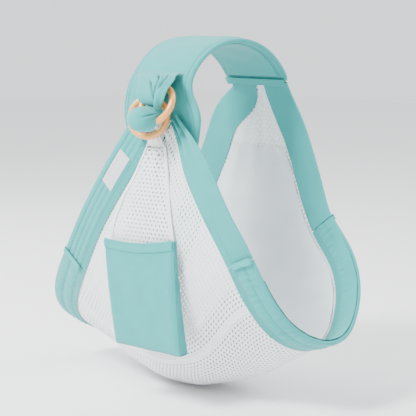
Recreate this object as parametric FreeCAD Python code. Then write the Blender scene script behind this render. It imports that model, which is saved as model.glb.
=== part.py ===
import FreeCAD, Part
import math
import os

# Baby wrap sling, a padded-shoulder ring sling with a perforated mesh pouch.
# Millimetres. X runs across the wearer from the left rail (-X) to the right rail (+X),
# Y from the ring side (-Y) to the back (+Y), Z up. The origin is the crown of the
# shoulder seat: the highest point of the pad's inner face, on the wearer's shoulder.

V = FreeCAD.Vector

# ---- overall sizes ----
DROP = 636.0            # crown of the seat to the lowest point of the pouch
HALF_SPREAD = 316.0     # centre plane to the furthest rail
DEPTH = 165.0           # centre plane to the front face of the pouch

# ---- shoulder pad ----
SEAT_R = 146.0          # radius of the seat over the shoulder
SEAT_BACK = 30.0        # angle where the pad ends at the back, from +Y
SEAT_FRONT = 144.0      # angle where the seat turns down at the front
CORNER_R = 45.0         # bend from the seat into the hanging front flap
FLAP_STRAIGHT = 136.0   # depth below the crown where the flap starts to curl in
FLAP_CURL_R = 120.0
FLAP_CURL = 37.0
LINING_T = 2.0
FOAM_T = 8.2
COVER_T = 2.0
PLY_GAP = 0.4           # clearance between neighbouring plies
PAD_LEFT = 71.0         # half widths of the pad about the centre plane
PAD_RIGHT = 77.0
FLAP_FLARE = 30.0       # how far the flap widens past the pad on the right
FLAP_LEAN = 6.0         # how far the flap's left edge leans outwards as it goes down
FLAP_LENGTH = 205.0     # crown to the lowest point of the flap
BINDING_W = 3.0         # width of the bound edge
BINDING_LIP = 0.8       # how far the binding stands past the pad faces
HEM_H = 15.0            # height of the folded hem at the back end

# ---- rings ----
RING_R = 34.0           # centre line of each ring
RING_TUBE = 6.0         # radius of each ring's round section
FRONT_RING_C = V(53, -182, -101)
FRONT_RING_N = V(0.02, -0.88, 0.48)
REAR_RING_C = V(20, -170, -125)
REAR_RING_N = V(0.40, -0.87, 0.26)
FOLD_CLEAR = 0.3        # fabric fold to the ring it wraps

# ---- fabric ----
MESH_T = 1.2            # perforated mesh, one ply
CLOTH_T = 1.0           # woven cotton, one ply
BAND_R_W = 58.0         # right rail
BAND_L_W = 66.0         # left rail
BAND_START_W = 20.0     # right rail where it leaves the rings, gathered
LAP = 11.0              # how deep the mesh sits inside a rail
SLOT_GAP = 1.5          # mesh to the rail plies, each side
PAD_RAIL_T = 5.2        # padding in the rails
STITCH_W = 3.0          # width pressed flat along a quilting line
TAB_L = 9.0             # folded seam tabs, along the rail
TAB_T = 1.3
LABEL_L = 78.0
LABEL_W = 30.0
LABEL_T = 0.8
SEAM_GAP = 0.5          # between neighbouring panels of mesh
LINING_GAP = 2.4        # pouch lining to the pouch mesh

# stations along the rails and the pouch, as shares of their length
R_FRONT_TAB = 0.253
R_BACK_TAB = 0.735
L_FRONT_TAB = 0.262
L_BACK_TAB = 0.735
SEAT_FROM = 0.34        # where the seat panel of the pouch starts
SEAT_TO = 0.62
LINING_FROM = 0.30
LINING_TO = 0.90

# ---- tail and pocket ----
TAIL_TOP_Z = -175.5     # where the tail starts to hang, just under the rear ring
TAIL_DROP = 165.5       # tail top to the pocket mouth
TAIL_TOP_W = 48.0
POCKET_W = 160.0
POCKET_H = 195.0
POCKET_DEEP = 9.0       # room inside, front to back
GUSSET_BASE = 22.0      # extra depth of the right gusset at the base
TAIL_TURN = 6.0         # turn of the tail about Z, degrees
HEM_STRIP = 15.0        # hem of the pocket mouth

N_ST = 54               # stations along the pouch, an even number


def unit(v):
    v = V(v)
    v.normalize()
    return v


def save(shape, name):
    if shape.ShapeType == "Compound" and len(shape.Solids) == 1:
        shape = shape.Solids[0]
    if shape.Volume < 0:
        shape.reverse()
    shape.exportStep("parts/%s.step" % name)
    print("%-24s %10.1f mm3  valid %s  solids %d" % (name, shape.Volume, shape.isValid(), len(shape.Solids)))


def spline(points):
    curve = Part.BSplineCurve()
    curve.interpolate(points)
    return curve.toShape()


def ring_spline(points):
    # closed outline in two halves, each a smooth edge
    h = len(points) // 2
    return Part.Wire([spline(points[:h + 1]), spline(points[h:] + points[:1])])


def grid_face(rows):
    surf = Part.BSplineSurface()
    surf.interpolate(rows)
    return surf


def ruled_face(one, two):
    # straight-ruled face between two curves, both brought to one set of knots
    one.scaleKnotsToBounds(0.0, 1.0)
    two.scaleKnotsToBounds(0.0, 1.0)
    deg = max(one.Degree, two.Degree)
    one.increaseDegree(deg)
    two.increaseDegree(deg)
    knots = list(zip(one.getKnots(), one.getMultiplicities()))
    other = list(zip(two.getKnots(), two.getMultiplicities()))
    for knot, mult in knots[1:-1]:
        two.insertKnot(knot, mult, 1e-9)
    for knot, mult in other[1:-1]:
        one.insertKnot(knot, mult, 1e-9)
    surf = Part.BSplineSurface()
    surf.buildFromPolesMultsKnots([one.getPoles(), two.getPoles()], (2, 2), one.getMultiplicities(),
                                  (0.0, 1.0), one.getKnots(), False, False, 1, deg)
    return surf.toShape()


def grid_solid(top, low):
    # closed solid between two grids of points of the same size
    upper = grid_face(top)
    lower = grid_face(low)
    faces = [upper.toShape(), lower.toShape()]
    for side in ("u0", "u1", "v0", "v1"):
        pair = []
        for surf in (upper, lower):
            u0, u1, v0, v1 = surf.bounds()
            if side[0] == "u":
                pair.append(surf.uIso(u0 if side[1] == "0" else u1))
            else:
                pair.append(surf.vIso(v0 if side[1] == "0" else v1))
        faces.append(ruled_face(pair[0], pair[1]))
    shell = Part.makeShell(faces)
    shell.sewShape()
    solid = Part.makeSolid(shell)
    if solid.Volume < 0:
        solid.reverse()
    return solid


def polygon(points):
    return Part.makePolygon(list(points) + [points[0]])


def loft(wires):
    solid = Part.makeLoft(wires, True, False)
    return solid


def mix(a, b, t):
    return a * (1.0 - t) + b * t


# ------------------------------------------------------------------ shoulder pad
# The pad's side profile in the YZ plane is one family of parallel curves: the seat
# arc, a tighter bend, a straight hanging flap and a curl at its foot.
SEAT_C = V(0, 0, -SEAT_R)
PAD_T = LINING_T + PLY_GAP + FOAM_T + PLY_GAP + COVER_T
A_BACK = math.radians(SEAT_BACK)
A_FRONT = math.radians(SEAT_FRONT)
CORNER_C = V(0, (SEAT_R - CORNER_R) * math.cos(A_FRONT), -SEAT_R + (SEAT_R - CORNER_R) * math.sin(A_FRONT))
FLAP_Y = CORNER_C.y - CORNER_R          # inner face of the hanging flap
CURL_C = V(0, FLAP_Y + FLAP_CURL_R, -FLAP_STRAIGHT)
A_CURL = math.radians(180.0 + FLAP_CURL)


def on_arc(centre, r, a):
    return V(centre.x, centre.y + r * math.cos(a), centre.z + r * math.sin(a))


def seat_point(depth, angle_deg, x):
    p = on_arc(SEAT_C, SEAT_R + depth, math.radians(angle_deg))
    return V(x, p.y, p.z)


def profile_edges(d):
    def arc(c, r, a, b):
        return Part.Arc(on_arc(c, r, a), on_arc(c, r, (a + b) / 2), on_arc(c, r, b)).toShape()
    top = arc(SEAT_C, SEAT_R + d, A_BACK, A_FRONT)
    bend = arc(CORNER_C, CORNER_R + d, A_FRONT, math.pi)
    drop = Part.LineSegment(on_arc(CORNER_C, CORNER_R + d, math.pi), on_arc(CURL_C, FLAP_CURL_R + d, math.pi)).toShape()
    curl = arc(CURL_C, FLAP_CURL_R + d, math.pi, A_CURL)
    return [top, bend, drop, curl]


def pad_slab(d0, d1):
    inner = profile_edges(d0)
    outer = profile_edges(d1)
    back = Part.LineSegment(on_arc(SEAT_C, SEAT_R + d0, A_BACK), on_arc(SEAT_C, SEAT_R + d1, A_BACK)).toShape()
    foot = Part.LineSegment(on_arc(CURL_C, FLAP_CURL_R + d0, A_CURL), on_arc(CURL_C, FLAP_CURL_R + d1, A_CURL)).toShape()
    wire = Part.Wire(Part.__sortEdges__(inner + outer + [back, foot]))
    face = Part.Face(wire)
    face.translate(V(-300, 0, 0))
    return face.extrude(V(600, 0, 0))


def flap_outline(inset):
    reach = PAD_RIGHT + FLAP_FLARE
    low = -FLAP_LENGTH
    pts = [(PAD_RIGHT, 0), (PAD_RIGHT, -46), (PAD_RIGHT + 0.38 * FLAP_FLARE, -84), (reach - 1, -117),
           (reach - 2, -146), (reach - 13, low + 31), (reach - 38, low + 9), (PAD_RIGHT * 0.2, low),
           (-PAD_LEFT * 0.52, low + 12), (-PAD_LEFT * 0.88 - 3, low + 40), (-PAD_LEFT - FLAP_LEAN, low + 82),
           (-PAD_LEFT + FLAP_LEAN, -60), (-PAD_LEFT + FLAP_LEAN * 0.5, -24), (-PAD_LEFT, 0)]
    out = []
    for i, (x, z) in enumerate(pts):
        a = pts[max(i - 1, 0)]
        b = pts[min(i + 1, len(pts) - 1)]
        tx = b[0] - a[0]
        tz = b[1] - a[1]
        n = math.hypot(tx, tz)
        out.append(V(x + inset * tz / n, 0, z - inset * tx / n))
    edge = spline(out)
    top = 80.0
    p0 = V(out[-1].x, 0, top)
    p1 = V(out[0].x, 0, top)
    lines = [Part.LineSegment(out[-1], p0).toShape(), Part.LineSegment(p0, p1).toShape(),
             Part.LineSegment(p1, out[0]).toShape()]
    face = Part.Face(Part.Wire(Part.__sortEdges__([edge] + lines)))
    return face.extrude(V(0, -500, 0))


def back_outline(inset):
    right = PAD_RIGHT - inset
    left = -PAD_LEFT + inset
    pts = [V(left, 0, 80), V(right, 0, 80), V(right, 0, -400), V(left, 0, -400)]
    return Part.Face(polygon(pts)).extrude(V(0, 500, 0))


def pad_plan(inset):
    return flap_outline(inset).fuse(back_outline(inset))


plan_full = pad_plan(0.0)
plan_inner = pad_plan(BINDING_W)
plan_foam = pad_plan(BINDING_W + 3.5)
D_FOAM = LINING_T + PLY_GAP
D_COVER = D_FOAM + FOAM_T + PLY_GAP
save(pad_slab(0, LINING_T).common(plan_inner), "pad_lining")
save(pad_slab(D_FOAM, D_FOAM + FOAM_T).common(plan_foam), "pad_foam")
save(pad_slab(D_COVER, PAD_T).common(plan_inner), "pad_cover")
rim = pad_slab(-BINDING_LIP, PAD_T + BINDING_LIP).common(plan_full).cut(pad_plan(BINDING_W - PLY_GAP))
save(rim, "pad_binding")

# Folded hem across the inner face of the back end, over the tops of the back rails.


def back_end(depth, along, x):
    # a point past the back end of the pad: depth from the lining, distance past the end
    p = on_arc(SEAT_C, SEAT_R + depth, A_BACK)
    return V(x, p.y + math.sin(A_BACK) * along, p.z - math.cos(A_BACK) * along)


hem_pts = []
for depth in (-BINDING_LIP - 1.6, -BINDING_LIP - 0.3):
    on_pad = seat_point(depth, SEAT_BACK + math.degrees(HEM_H * 0.5 / SEAT_R), 0)
    hem_pts.append([V(-PAD_LEFT, on_pad.y, on_pad.z), back_end(depth, 0, -PAD_LEFT), back_end(depth, HEM_H * 0.5, -PAD_LEFT)])
hem_poly = hem_pts[0] + hem_pts[1][::-1]
save(Part.Face(polygon(hem_poly)).extrude(V(PAD_LEFT + PAD_RIGHT, 0, 0)), "pad_back_hem")

# ------------------------------------------------------------------ pouch guides
# Three guide lines run from the rings under the wearer to the back of the pad:
# the right rail, the left rail and the middle of the mesh.
SX = HALF_SPREAD / 316.0
SZ = DROP / 636.0
SY = DEPTH / 165.0
BACK_MID = back_end(PAD_T / 2, 4.0, 0)
FLAP_FACE = FLAP_Y - PAD_T      # outer face of the hanging flap


def scaled(rows):
    return [V(x * SX, y * SY, z * SZ) for x, y, z in rows]


right_pts = [V(60, FLAP_FACE - 6.0, -127), V(80, FLAP_FACE - 10.5, -147)]
right_pts += scaled([(114, -160, -187), (150, -163, -242), (185, -160, -299), (215, -150, -354),
                     (238, -125, -425), (257, -95, -475), (268, -55, -505), (277, 0, -520),
                     (275, 40, -513), (263, 80, -485), (242, 115, -442), (209, 135, -390),
                     (157, 145, -335), (111, 150, -236)])
right_pts += [V(75, 149, -154 * SZ), V(PAD_RIGHT - 31, BACK_MID.y + 9, BACK_MID.z - 18),
              V(PAD_RIGHT - 31, BACK_MID.y, BACK_MID.z)]

left_pts = [V(-18, FLAP_FACE - 15.0, -160)]
left_pts += scaled([(-58, -162, -215), (-107, -160, -274), (-155, -155, -335), (-205, -145, -405),
                    (-268, -115, -470), (-310, -75, -529), (-316, -28, -562), (-300, 25, -566),
                    (-272, 75, -535), (-240, 115, -480), (-205, 138, -395), (-153, 150, -270)])
left_pts += [V(-118, 150, -200 * SZ), V(-80, 146, -136 * SZ), V(-PAD_LEFT + 33, BACK_MID.y + 9, BACK_MID.z - 18),
             V(-PAD_LEFT + 33, BACK_MID.y, BACK_MID.z)]

mid_pts = [V(22, FLAP_FACE - 17.0, -197)]
mid_pts += scaled([(12, -162, -250), (5, -165, -310), (2, -165, -380), (0, -157, -450),
                   (0, -110, -575), (0, -30, -632), (0, 40, -628), (0, 110, -560),
                   (0, 148, -430), (0, 155, -280)])
mid_pts += [V(4, 150, -150 * SZ), V(4, BACK_MID.y + 9, BACK_MID.z - 18), V(4, BACK_MID.y, BACK_MID.z)]


def stations(points, n):
    return spline(points).discretize(n + 1)


RAIL_R = stations(right_pts, N_ST)
RAIL_L = stations(left_pts, N_ST)
MID = stations(mid_pts, N_ST)


def tangents(line):
    out = []
    for i in range(len(line)):
        a = line[max(i - 1, 0)]
        b = line[min(i + 1, len(line) - 1)]
        out.append(unit(b - a))
    return out


def smooth(vecs, rounds):
    for _ in range(rounds):
        new = [vecs[0]]
        for i in range(1, len(vecs) - 1):
            new.append(unit(vecs[i - 1] + vecs[i] * 2 + vecs[i + 1]))
        new.append(vecs[-1])
        vecs = new
    return vecs


def frames(line, other, flip):
    tan = tangents(line)
    side = []
    for p, q, t in zip(line, other, tan):
        w = q - p
        side.append(unit(w - t * w.dot(t)))
    side = smooth(side, 3)
    fixed = []
    normal = []
    for t, w in zip(tan, side):
        w = unit(w - t * w.dot(t))
        n = w.cross(t) if flip else t.cross(w)
        fixed.append(w)
        normal.append(unit(n))
    return tan, fixed, normal


TAN_R, SIDE_R, NRM_R = frames(RAIL_R, MID, True)
TAN_L, SIDE_L, NRM_L = frames(RAIL_L, MID, False)


def width_r(i):
    t = min(1.0, (float(i) / N_ST) / 0.11)
    t = t * t * (3 - 2 * t)
    return BAND_START_W + (BAND_R_W - BAND_START_W) * t


def width_l(i):
    return BAND_L_W


def rail_point(side, i, u, h):
    if side == "R":
        return RAIL_R[i] + SIDE_R[i] * u + NRM_R[i] * h
    return RAIL_L[i] + SIDE_L[i] * u + NRM_L[i] * h


HALF_SLOT = MESH_T / 2 + SLOT_GAP


def rail_section(side, i, channels, padded):
    # C-shaped section of a rail: two plies joined at the free edge, open towards the
    # mesh, pressed together along the stitch lines between the padded channels.
    w = width_r(i) if side == "R" else width_l(i)
    mouth = w / 2
    flat = mouth - LAP - 2.0
    free = -w / 2 + CLOTH_T
    puff = PAD_RAIL_T / 2 + PLY_GAP
    chain = [(mouth, HALF_SLOT), (flat, HALF_SLOT)]
    if padded:
        chain = [(mouth, HALF_SLOT), (flat + 1.0, HALF_SLOT)]
        pitch = (flat - 4.0 - free) / channels
        chain.append((flat - 4.0, puff))
        for k in range(1, channels):
            u = flat - 4.0 - pitch * k
            chain += [(u + STITCH_W, puff), (u, HALF_SLOT + 0.4), (u - STITCH_W, puff)]
        chain += [(free, puff)]
    else:
        chain += [(free, HALF_SLOT)]
    outer = [(u, h + CLOTH_T) for u, h in chain]
    outer[-1] = (free - CLOTH_T * 0.3, chain[-1][1] + CLOTH_T)
    outer.append((free - CLOTH_T, chain[-1][1] * 0.4))
    loop = outer + [(u, -h) for u, h in outer[::-1]] + [(u, -h) for u, h in chain] + [(u, h) for u, h in chain[::-1]]
    pts = [rail_point(side, i, u, h) for u, h in loop]
    return polygon(pts)


def padding_section(side, i, channels):
    w = width_r(i) if side == "R" else width_l(i)
    flat = w / 2 - LAP - 2.0
    free = -w / 2 + CLOTH_T
    puff = PAD_RAIL_T / 2
    start = flat - 4.0 - 1.0
    pitch = (flat - 4.0 - free) / channels
    chain = [(start, puff)]
    for k in range(1, channels):
        u = flat - 4.0 - pitch * k
        chain += [(u + STITCH_W + 0.3, puff), (u, HALF_SLOT), (u - STITCH_W - 0.3, puff)]
    chain += [(free + PLY_GAP + 0.4, puff)]
    loop = chain + [(u, -h) for u, h in chain[::-1]]
    return polygon([rail_point(side, i, u, h) for u, h in loop])


def station_range(lo, hi, step):
    ids = list(range(lo, hi, step))
    if ids[-1] != hi:
        if hi - ids[-1] < step * 0.6 and len(ids) > 2:
            ids.pop()
        ids.append(hi)
    return ids


def station(share):
    # every length of rail or mesh starts and ends on an even station
    return 2 * int(round(share * N_ST / 2.0))


def rail(side, lo, hi, channels, padded, name, step=1):
    ids = station_range(lo, hi, step)
    save(loft([rail_section(side, i, channels, padded) for i in ids]), name)


def padding(side, lo, hi, channels, name, step=1):
    ids = station_range(lo, hi, step)
    save(loft([padding_section(side, i, channels) for i in ids]), name)


RF = station(R_FRONT_TAB)
RB = station(R_BACK_TAB)
LF = station(L_FRONT_TAB)
LB = station(L_BACK_TAB)
rail("R", 0, RF, 1, False, "right_front_band")
rail("R", RF, RB, 2, True, "right_padded_cover")
padding("R", RF, RB, 2, "right_padding")
rail("R", RB, N_ST, 1, False, "right_back_band")
rail("L", 0, LF, 4, True, "left_quilted_cover")
padding("L", 0, LF, 4, "left_quilt_padding")
rail("L", LF, LB, 2, True, "left_padded_cover")
padding("L", LF, LB, 2, "left_padding")
rail("L", LB, N_ST, 1, False, "left_back_band")


def strip(side, i0, i1, u0, u1, h0, h1, name, step=1):
    # a flat strip laid on a rail, between two heights over the rail's middle surface
    ids = station_range(i0, i1, step)
    across = [u0, (u0 + u1) / 2, u1]
    save(grid_solid([[rail_point(side, i, u, h1) for u in across] for i in ids],
                    [[rail_point(side, i, u, h0) for u in across] for i in ids]), name)


PUFF_TOP = PAD_RAIL_T / 2 + PLY_GAP + CLOTH_T


def tab(side, i, name):
    # folded seam tab that wraps the outer face of a rail where two lengths are sewn
    w = (width_r(i) if side == "R" else width_l(i)) / 2
    t = (TAN_R if side == "R" else TAN_L)[i]
    lo = PUFF_TOP + 2.0
    wires = []
    for s in (-TAB_L / 2, TAB_L / 2):
        pts = [rail_point(side, i, u, h) + t * s for u, h in ((-w - 0.5, lo), (w - LAP - 4, lo),
               (w - LAP - 4, lo + TAB_T), (-w - 0.5, lo + TAB_T))]
        wires.append(polygon(pts))
    save(loft(wires), name)


tab("R", RF, "right_front_tab")
tab("R", RB, "right_back_tab")
tab("L", LF, "left_front_tab")
tab("L", LB, "left_back_tab")

# Turned hem closing the top of the quilted band, just before its first station.
wires = []
for s in (-0.3, -6.3):
    w = BAND_L_W / 2
    pts = [rail_point("L", 0, u, h) + TAN_L[0] * s for u, h in ((-w, -PUFF_TOP), (w - LAP, -PUFF_TOP),
           (w - LAP, PUFF_TOP), (-w, PUFF_TOP))]
    wires.append(polygon(pts))
save(loft(wires), "left_top_hem")

# Woven label on the quilted band.
label_mid = -3.0
i0 = 2
gap = (RAIL_L[i0 + 1] - RAIL_L[i0]).Length
i1 = i0 + int(round(LABEL_L / gap))
strip("L", i0, i1, label_mid - LABEL_W / 2, label_mid + LABEL_W / 2, PUFF_TOP + 0.3, PUFF_TOP + 0.3 + LABEL_T, "label")

# Second ply on the inner side of the right rail, open along its free edge.
strip("R", RF + 2, RB - 2, -BAND_R_W / 2 + 1, -2.0, -PUFF_TOP - 2.4 - CLOTH_T, -PUFF_TOP - 2.4,
      "right_inner_facing", 1)

# ------------------------------------------------------------------ pouch mesh


def cross_points(i):
    wr = width_r(i) / 2
    wl = width_l(i) / 2
    a0 = rail_point("R", i, wr - LAP, 0)
    a1 = rail_point("R", i, wr + 3, 0)
    b0 = rail_point("L", i, wl - LAP, 0)
    b1 = rail_point("L", i, wl + 3, 0)
    m = MID[i]
    out = [a0, a1]
    for t in (0.5, 0.0, -0.5):
        out.append(m + (a1 - b1) * (t / 2) + ((a1 + b1) * 0.5 - m) * (t * t))
    return out + [b1, b0]


N_COL = 17              # columns of points across the pouch
LAP_AT = (-LAP, -LAP * 0.64, -LAP * 0.27, 2.0)      # columns that lie flat inside a rail


def cross_row(i):
    # the cross line at one station, with its ends lying flat inside the two rails
    edge = spline(cross_points(i))
    wr = width_r(i) / 2
    wl = width_l(i) / 2
    inset = LAP + 3.0
    n = N_COL - 2 * len(LAP_AT)
    clear = edge.Length - 2 * inset
    inner = [edge.valueAt(edge.getParameterByLength(inset + clear * (k + 1) / (n + 1.0))) for k in range(n)]
    head = [rail_point("R", i, wr + d, 0) for d in LAP_AT]
    foot = [rail_point("L", i, wl + d, 0) for d in LAP_AT[::-1]]
    return head + inner + foot


CROSS = [cross_row(i) for i in range(N_ST + 1)]


def cross_normals(i):
    lo = CROSS[max(i - 1, 0)]
    hi = CROSS[min(i + 1, N_ST)]
    row = CROSS[i]
    out = []
    for k in range(len(row)):
        if k < len(LAP_AT):
            out.append(NRM_R[i])
        elif k >= len(row) - len(LAP_AT):
            out.append(NRM_L[i])
        else:
            along = hi[k] - lo[k]
            across = row[k + 1] - row[k - 1]
            n = unit(across.cross(along))
            if n.dot(NRM_R[i] + NRM_L[i]) < 0:
                n = n * -1.0
            out.append(n)
    return out


NORMALS = [cross_normals(i) for i in range(N_ST + 1)]


def sheet(ids, lo, hi, name, pick=None):
    top = []
    low = []
    for i in ids:
        pts = CROSS[i]
        nrm = NORMALS[i]
        if pick:
            pts, nrm = pick(pts, nrm)
        if i == ids[0] and i > 0:
            # leave the seam to the length before it
            ahead = CROSS[i + 1]
            start = len(LAP_AT) if pick else 0
            pts = [p + unit(ahead[k + start] - p) * SEAM_GAP for k, p in enumerate(pts)]
        top.append([p + n * hi for p, n in zip(pts, nrm)])
        low.append([p + n * lo for p, n in zip(pts, nrm)])
    save(grid_solid(top, low), name)


SF = station(SEAT_FROM)
ST = station(SEAT_TO)
sheet(station_range(0, SF, 1), -MESH_T / 2, MESH_T / 2, "pouch_mesh_front")
sheet(station_range(SF, ST, 1), -MESH_T / 2, MESH_T / 2, "pouch_mesh_seat")
sheet(station_range(ST, N_ST, 1), -MESH_T / 2, MESH_T / 2, "pouch_mesh_back")


def inner_part(pts, nrm):
    # the lining stops short of the rails
    return pts[len(LAP_AT):-len(LAP_AT)], nrm[len(LAP_AT):-len(LAP_AT)]


low = -MESH_T / 2 - LINING_GAP
sheet(station_range(station(LINING_FROM), station(LINING_TO), 1), low - CLOTH_T, low, "pouch_lining", inner_part)

# ------------------------------------------------------------------ rings
save_ring = []


def torus(centre, normal, tube):
    t = Part.makeTorus(RING_R, tube)
    t.Placement = FreeCAD.Placement(centre, FreeCAD.Rotation(V(0, 0, 1), normal))
    return t


save(torus(FRONT_RING_C, FRONT_RING_N, RING_TUBE), "front_ring")
save(torus(REAR_RING_C, REAR_RING_N, RING_TUBE), "rear_ring")

# Bunched end of the cloth folded over the lower arc of the front ring.
FOLD_C = V(FRONT_RING_C.x - 9, FRONT_RING_C.y - 20, FRONT_RING_C.z - 27)
FOLD_A = 28.0
FOLD_B = 29.0
FOLD_H = 20.5
ball = Part.makeSphere(10.0)
scale = FreeCAD.Matrix()
scale.scale(FOLD_A / 10.0, FOLD_B / 10.0, FOLD_H / 10.0)
ball = ball.transformGeometry(scale)
ball.translate(FOLD_C)
save(ball.cut(torus(FRONT_RING_C, FRONT_RING_N, RING_TUBE + FOLD_CLEAR)), "tail_fold")


def oval(c, half_w, half_t, n=14):
    # flattened round section about c; half_w and half_t are vectors
    pts = []
    for k in range(n):
        a = 2 * math.pi * k / n
        ca = math.cos(a)
        sa = math.sin(a)
        x = math.copysign(abs(ca) ** 0.75, ca)
        y = math.copysign(abs(sa) ** 0.75, sa)
        pts.append(c + half_w * x + half_t * y)
    return ring_spline(pts)


def path_loft(rows, name):
    # rows: centre, across vector, through vector, half width, half thickness
    wires = []
    for c, across, through, hw, ht in rows:
        wires.append(oval(c, unit(across) * hw, unit(through) * ht))
    save(loft(wires), name)


X = V(1, 0, 0)
R1 = V(FRONT_RING_C.x, 0, 0)


def at(x, y, z):
    return V(x, y, z)


# Gathered panel from the seam on the pad down into the rings, and the same cloth
# coming back up behind them to the same seam.
path_loft([
    (at(10, -130.5, -46.5), V(1, 0, 0), V(0, -0.5, 0.86), 52, 1.2),
    (at(18, -148, -51.5), V(1, -0.02, 0), V(0, -0.3, 0.95), 50, 2.0),
    (at(35, -168, -58), V(1, -0.04, -0.02), V(0, -0.5, 0.86), 46, 2.6),
    (at(44, -184, -70), V(1, -0.02, -0.04), V(0, -0.85, 0.5), 38, 2.8),
    (at(48, -193, -84), V(1, 0.02, -0.05), V(0, -1, 0), 31, 3.2),
    (at(47, -191.5, -95.5), V(1, 0.1, -0.05), V(0, -0.75, -0.66), 21, 3.2),
    (at(46, -180, -102), V(1, 0.2, -0.1), V(0.05, -0.35, -0.93), 14, 3.2),
], "ring_pleat_panel")
path_loft([
    (at(45.4, -179.3, -102.3), V(1, 0.2, -0.1), V(0.05, -0.35, -0.93), 14, 3.2),
    (at(30, -166, -107.5), V(1, 0.2, -0.05), V(0, -0.2, -0.98), 12.5, 2.8),
    (at(18, -153.5, -105.5), V(1, 0.1, 0), V(0, 0.7, -0.7), 10, 2.0),
    (at(15, -146.5, -93), V(1, 0, 0), V(0, 1, -0.1), 18, 1.6),
    (at(14, -143.5, -70), V(1, 0, 0), V(0, 0.98, -0.2), 34, 1.3),
    (at(10, -134.5, -56), V(1, 0, 0), V(0, 0.7, -0.7), 46, 0.9),
], "ring_loop_back")

# Cloth drawn up from the pouch behind both rings, through them, to the fold.
start = [p + V(0, 0, 0.8) for p in CROSS[0][3:-3]]
count = len(start)


def line_row(a, b):
    return [mix(a, b, k / (count - 1.0)) for k in range(count)]


line_a = line_row(at(40, FLAP_FACE - 11.6, -128), at(15, FLAP_FACE - 11.6, -142))
gather_rows = [
    (start, V(0, -1, 0), MESH_T / 2),
    ([mix(p, q, 0.5) for p, q in zip(start, line_a)], V(0, -1, 0), 1.8),
    (line_a, V(0, -1, 0.2), 2.6),
    (line_row(at(40.5, FLAP_FACE - 21, -120), at(21, FLAP_FACE - 21, -124)), V(0, -0.75, 0.6), 2.8),
    (line_row(at(42, FOLD_C.y + FOLD_B + 1.5, -117), at(25, FOLD_C.y + FOLD_B + 1.5, -119)), V(0, -0.3, 0.95), 2.8),
]
save(grid_solid([[p + unit(n) * h for p in row] for row, n, h in gather_rows],
                [[p - unit(n) * h for p in row] for row, n, h in gather_rows]), "pouch_gather")

# The tail end of the fold going down behind the lower arc of the rear ring.
RB_N = unit(REAR_RING_N)
RB_A = unit(V(0, 0, 1).cross(RB_N))
RB_B = RB_N.cross(RB_A)
PHI = math.radians(285)
ARC = REAR_RING_C + RB_A * (RING_R * math.cos(PHI)) + RB_B * (RING_R * math.sin(PHI))
INWARD = unit(REAR_RING_C - ARC)
ALONG = RB_N.cross(INWARD) * -1.0
if ALONG.x < 0:
    ALONG = ALONG * -1.0
CLEAR = RING_TUBE + 4.0
NECK_W = 11.0
path_loft([
    (ARC + INWARD * (CLEAR + 0.6) + RB_N * 9, ALONG, INWARD, NECK_W, 1.6),
    (ARC + INWARD * CLEAR + RB_N * 1, ALONG, INWARD, NECK_W, 1.6),
    (ARC + INWARD * (CLEAR * 0.62) - RB_N * (CLEAR * 0.78), ALONG, INWARD - RB_N, NECK_W, 1.6),
    (ARC - INWARD * 1.5 - RB_N * (CLEAR + 0.5), ALONG, RB_N * -1.0, NECK_W + 1, 1.6),
    (V(29, -162.6, TAIL_TOP_Z + 6), V(1, 0.2, 0), V(0, 1, 0), 17, 1.4),
    (V(30.5, -162.6, TAIL_TOP_Z + 1.5), V(1, 0.1, 0), V(0, 1, 0), 22, 1.2),
], "tail_neck")

# ------------------------------------------------------------------ tail and pocket
TURN = math.radians(TAIL_TURN)
E1 = V(math.cos(TURN), math.sin(TURN), 0)
OUT = V(math.sin(TURN), -math.cos(TURN), 0)
MOUTH_Z = TAIL_TOP_Z - TAIL_DROP
HANG_Y = -DEPTH - 12.0
# height share, centre x, centre y, half width: from the rings to the pocket mouth, then the pocket
tail_rows = [
    (TAIL_TOP_Z, 31, -162.5, TAIL_TOP_W / 2),
    (mix(TAIL_TOP_Z, MOUTH_Z, 0.16), 29, -166, mix(TAIL_TOP_W, POCKET_W, 0.15) / 2),
    (mix(TAIL_TOP_Z, MOUTH_Z, 0.40), 23, -172.5, mix(TAIL_TOP_W, POCKET_W, 0.39) / 2),
    (mix(TAIL_TOP_Z, MOUTH_Z, 0.70), 12, HANG_Y + 0.5, mix(TAIL_TOP_W, POCKET_W, 0.69) / 2),
    (MOUTH_Z, 2, HANG_Y - 1, POCKET_W / 2),
    (MOUTH_Z - 0.33 * POCKET_H, 8, HANG_Y - 1, POCKET_W / 2),
    (MOUTH_Z - 0.67 * POCKET_H, 15, HANG_Y + 2, POCKET_W / 2),
    (MOUTH_Z - POCKET_H, 22, HANG_Y + 7, POCKET_W / 2),
]


def tail_line(row, off, shares):
    z, x, y, half = row
    return [V(x, y, z) + E1 * (half * t) + OUT * off for t in shares]


SHARES = [-1.0, -0.5, 0.0, 0.5, 1.0]
tail_top = [tail_line(r, MESH_T / 2, SHARES) for r in tail_rows]
tail_low = [tail_line(r, -MESH_T / 2, SHARES) for r in tail_rows]
save(grid_solid(tail_top, tail_low), "tail_mesh")


def edge_strip(sign, name):
    # narrow bound edge lying on the tail from the rings to the pocket mouth
    rows_hi = []
    rows_lo = []
    for row in tail_rows[:5]:
        z, x, y, half = row
        z = z + (2.0 if row is tail_rows[4] else 0.0)
        wide = 5.0 / half
        s = [sign * (1.0 - wide), sign * (1.0 - wide / 2), sign * 1.0]
        if sign < 0:
            s = s[::-1]
        rows_hi.append(tail_line((z, x, y, half), MESH_T / 2 + 0.7 + CLOTH_T, s))
        rows_lo.append(tail_line((z, x, y, half), MESH_T / 2 + 0.7, s))
    save(grid_solid(rows_hi, rows_lo), name)


edge_strip(-1, "tail_edge_left")
edge_strip(1, "tail_edge_right")

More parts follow.
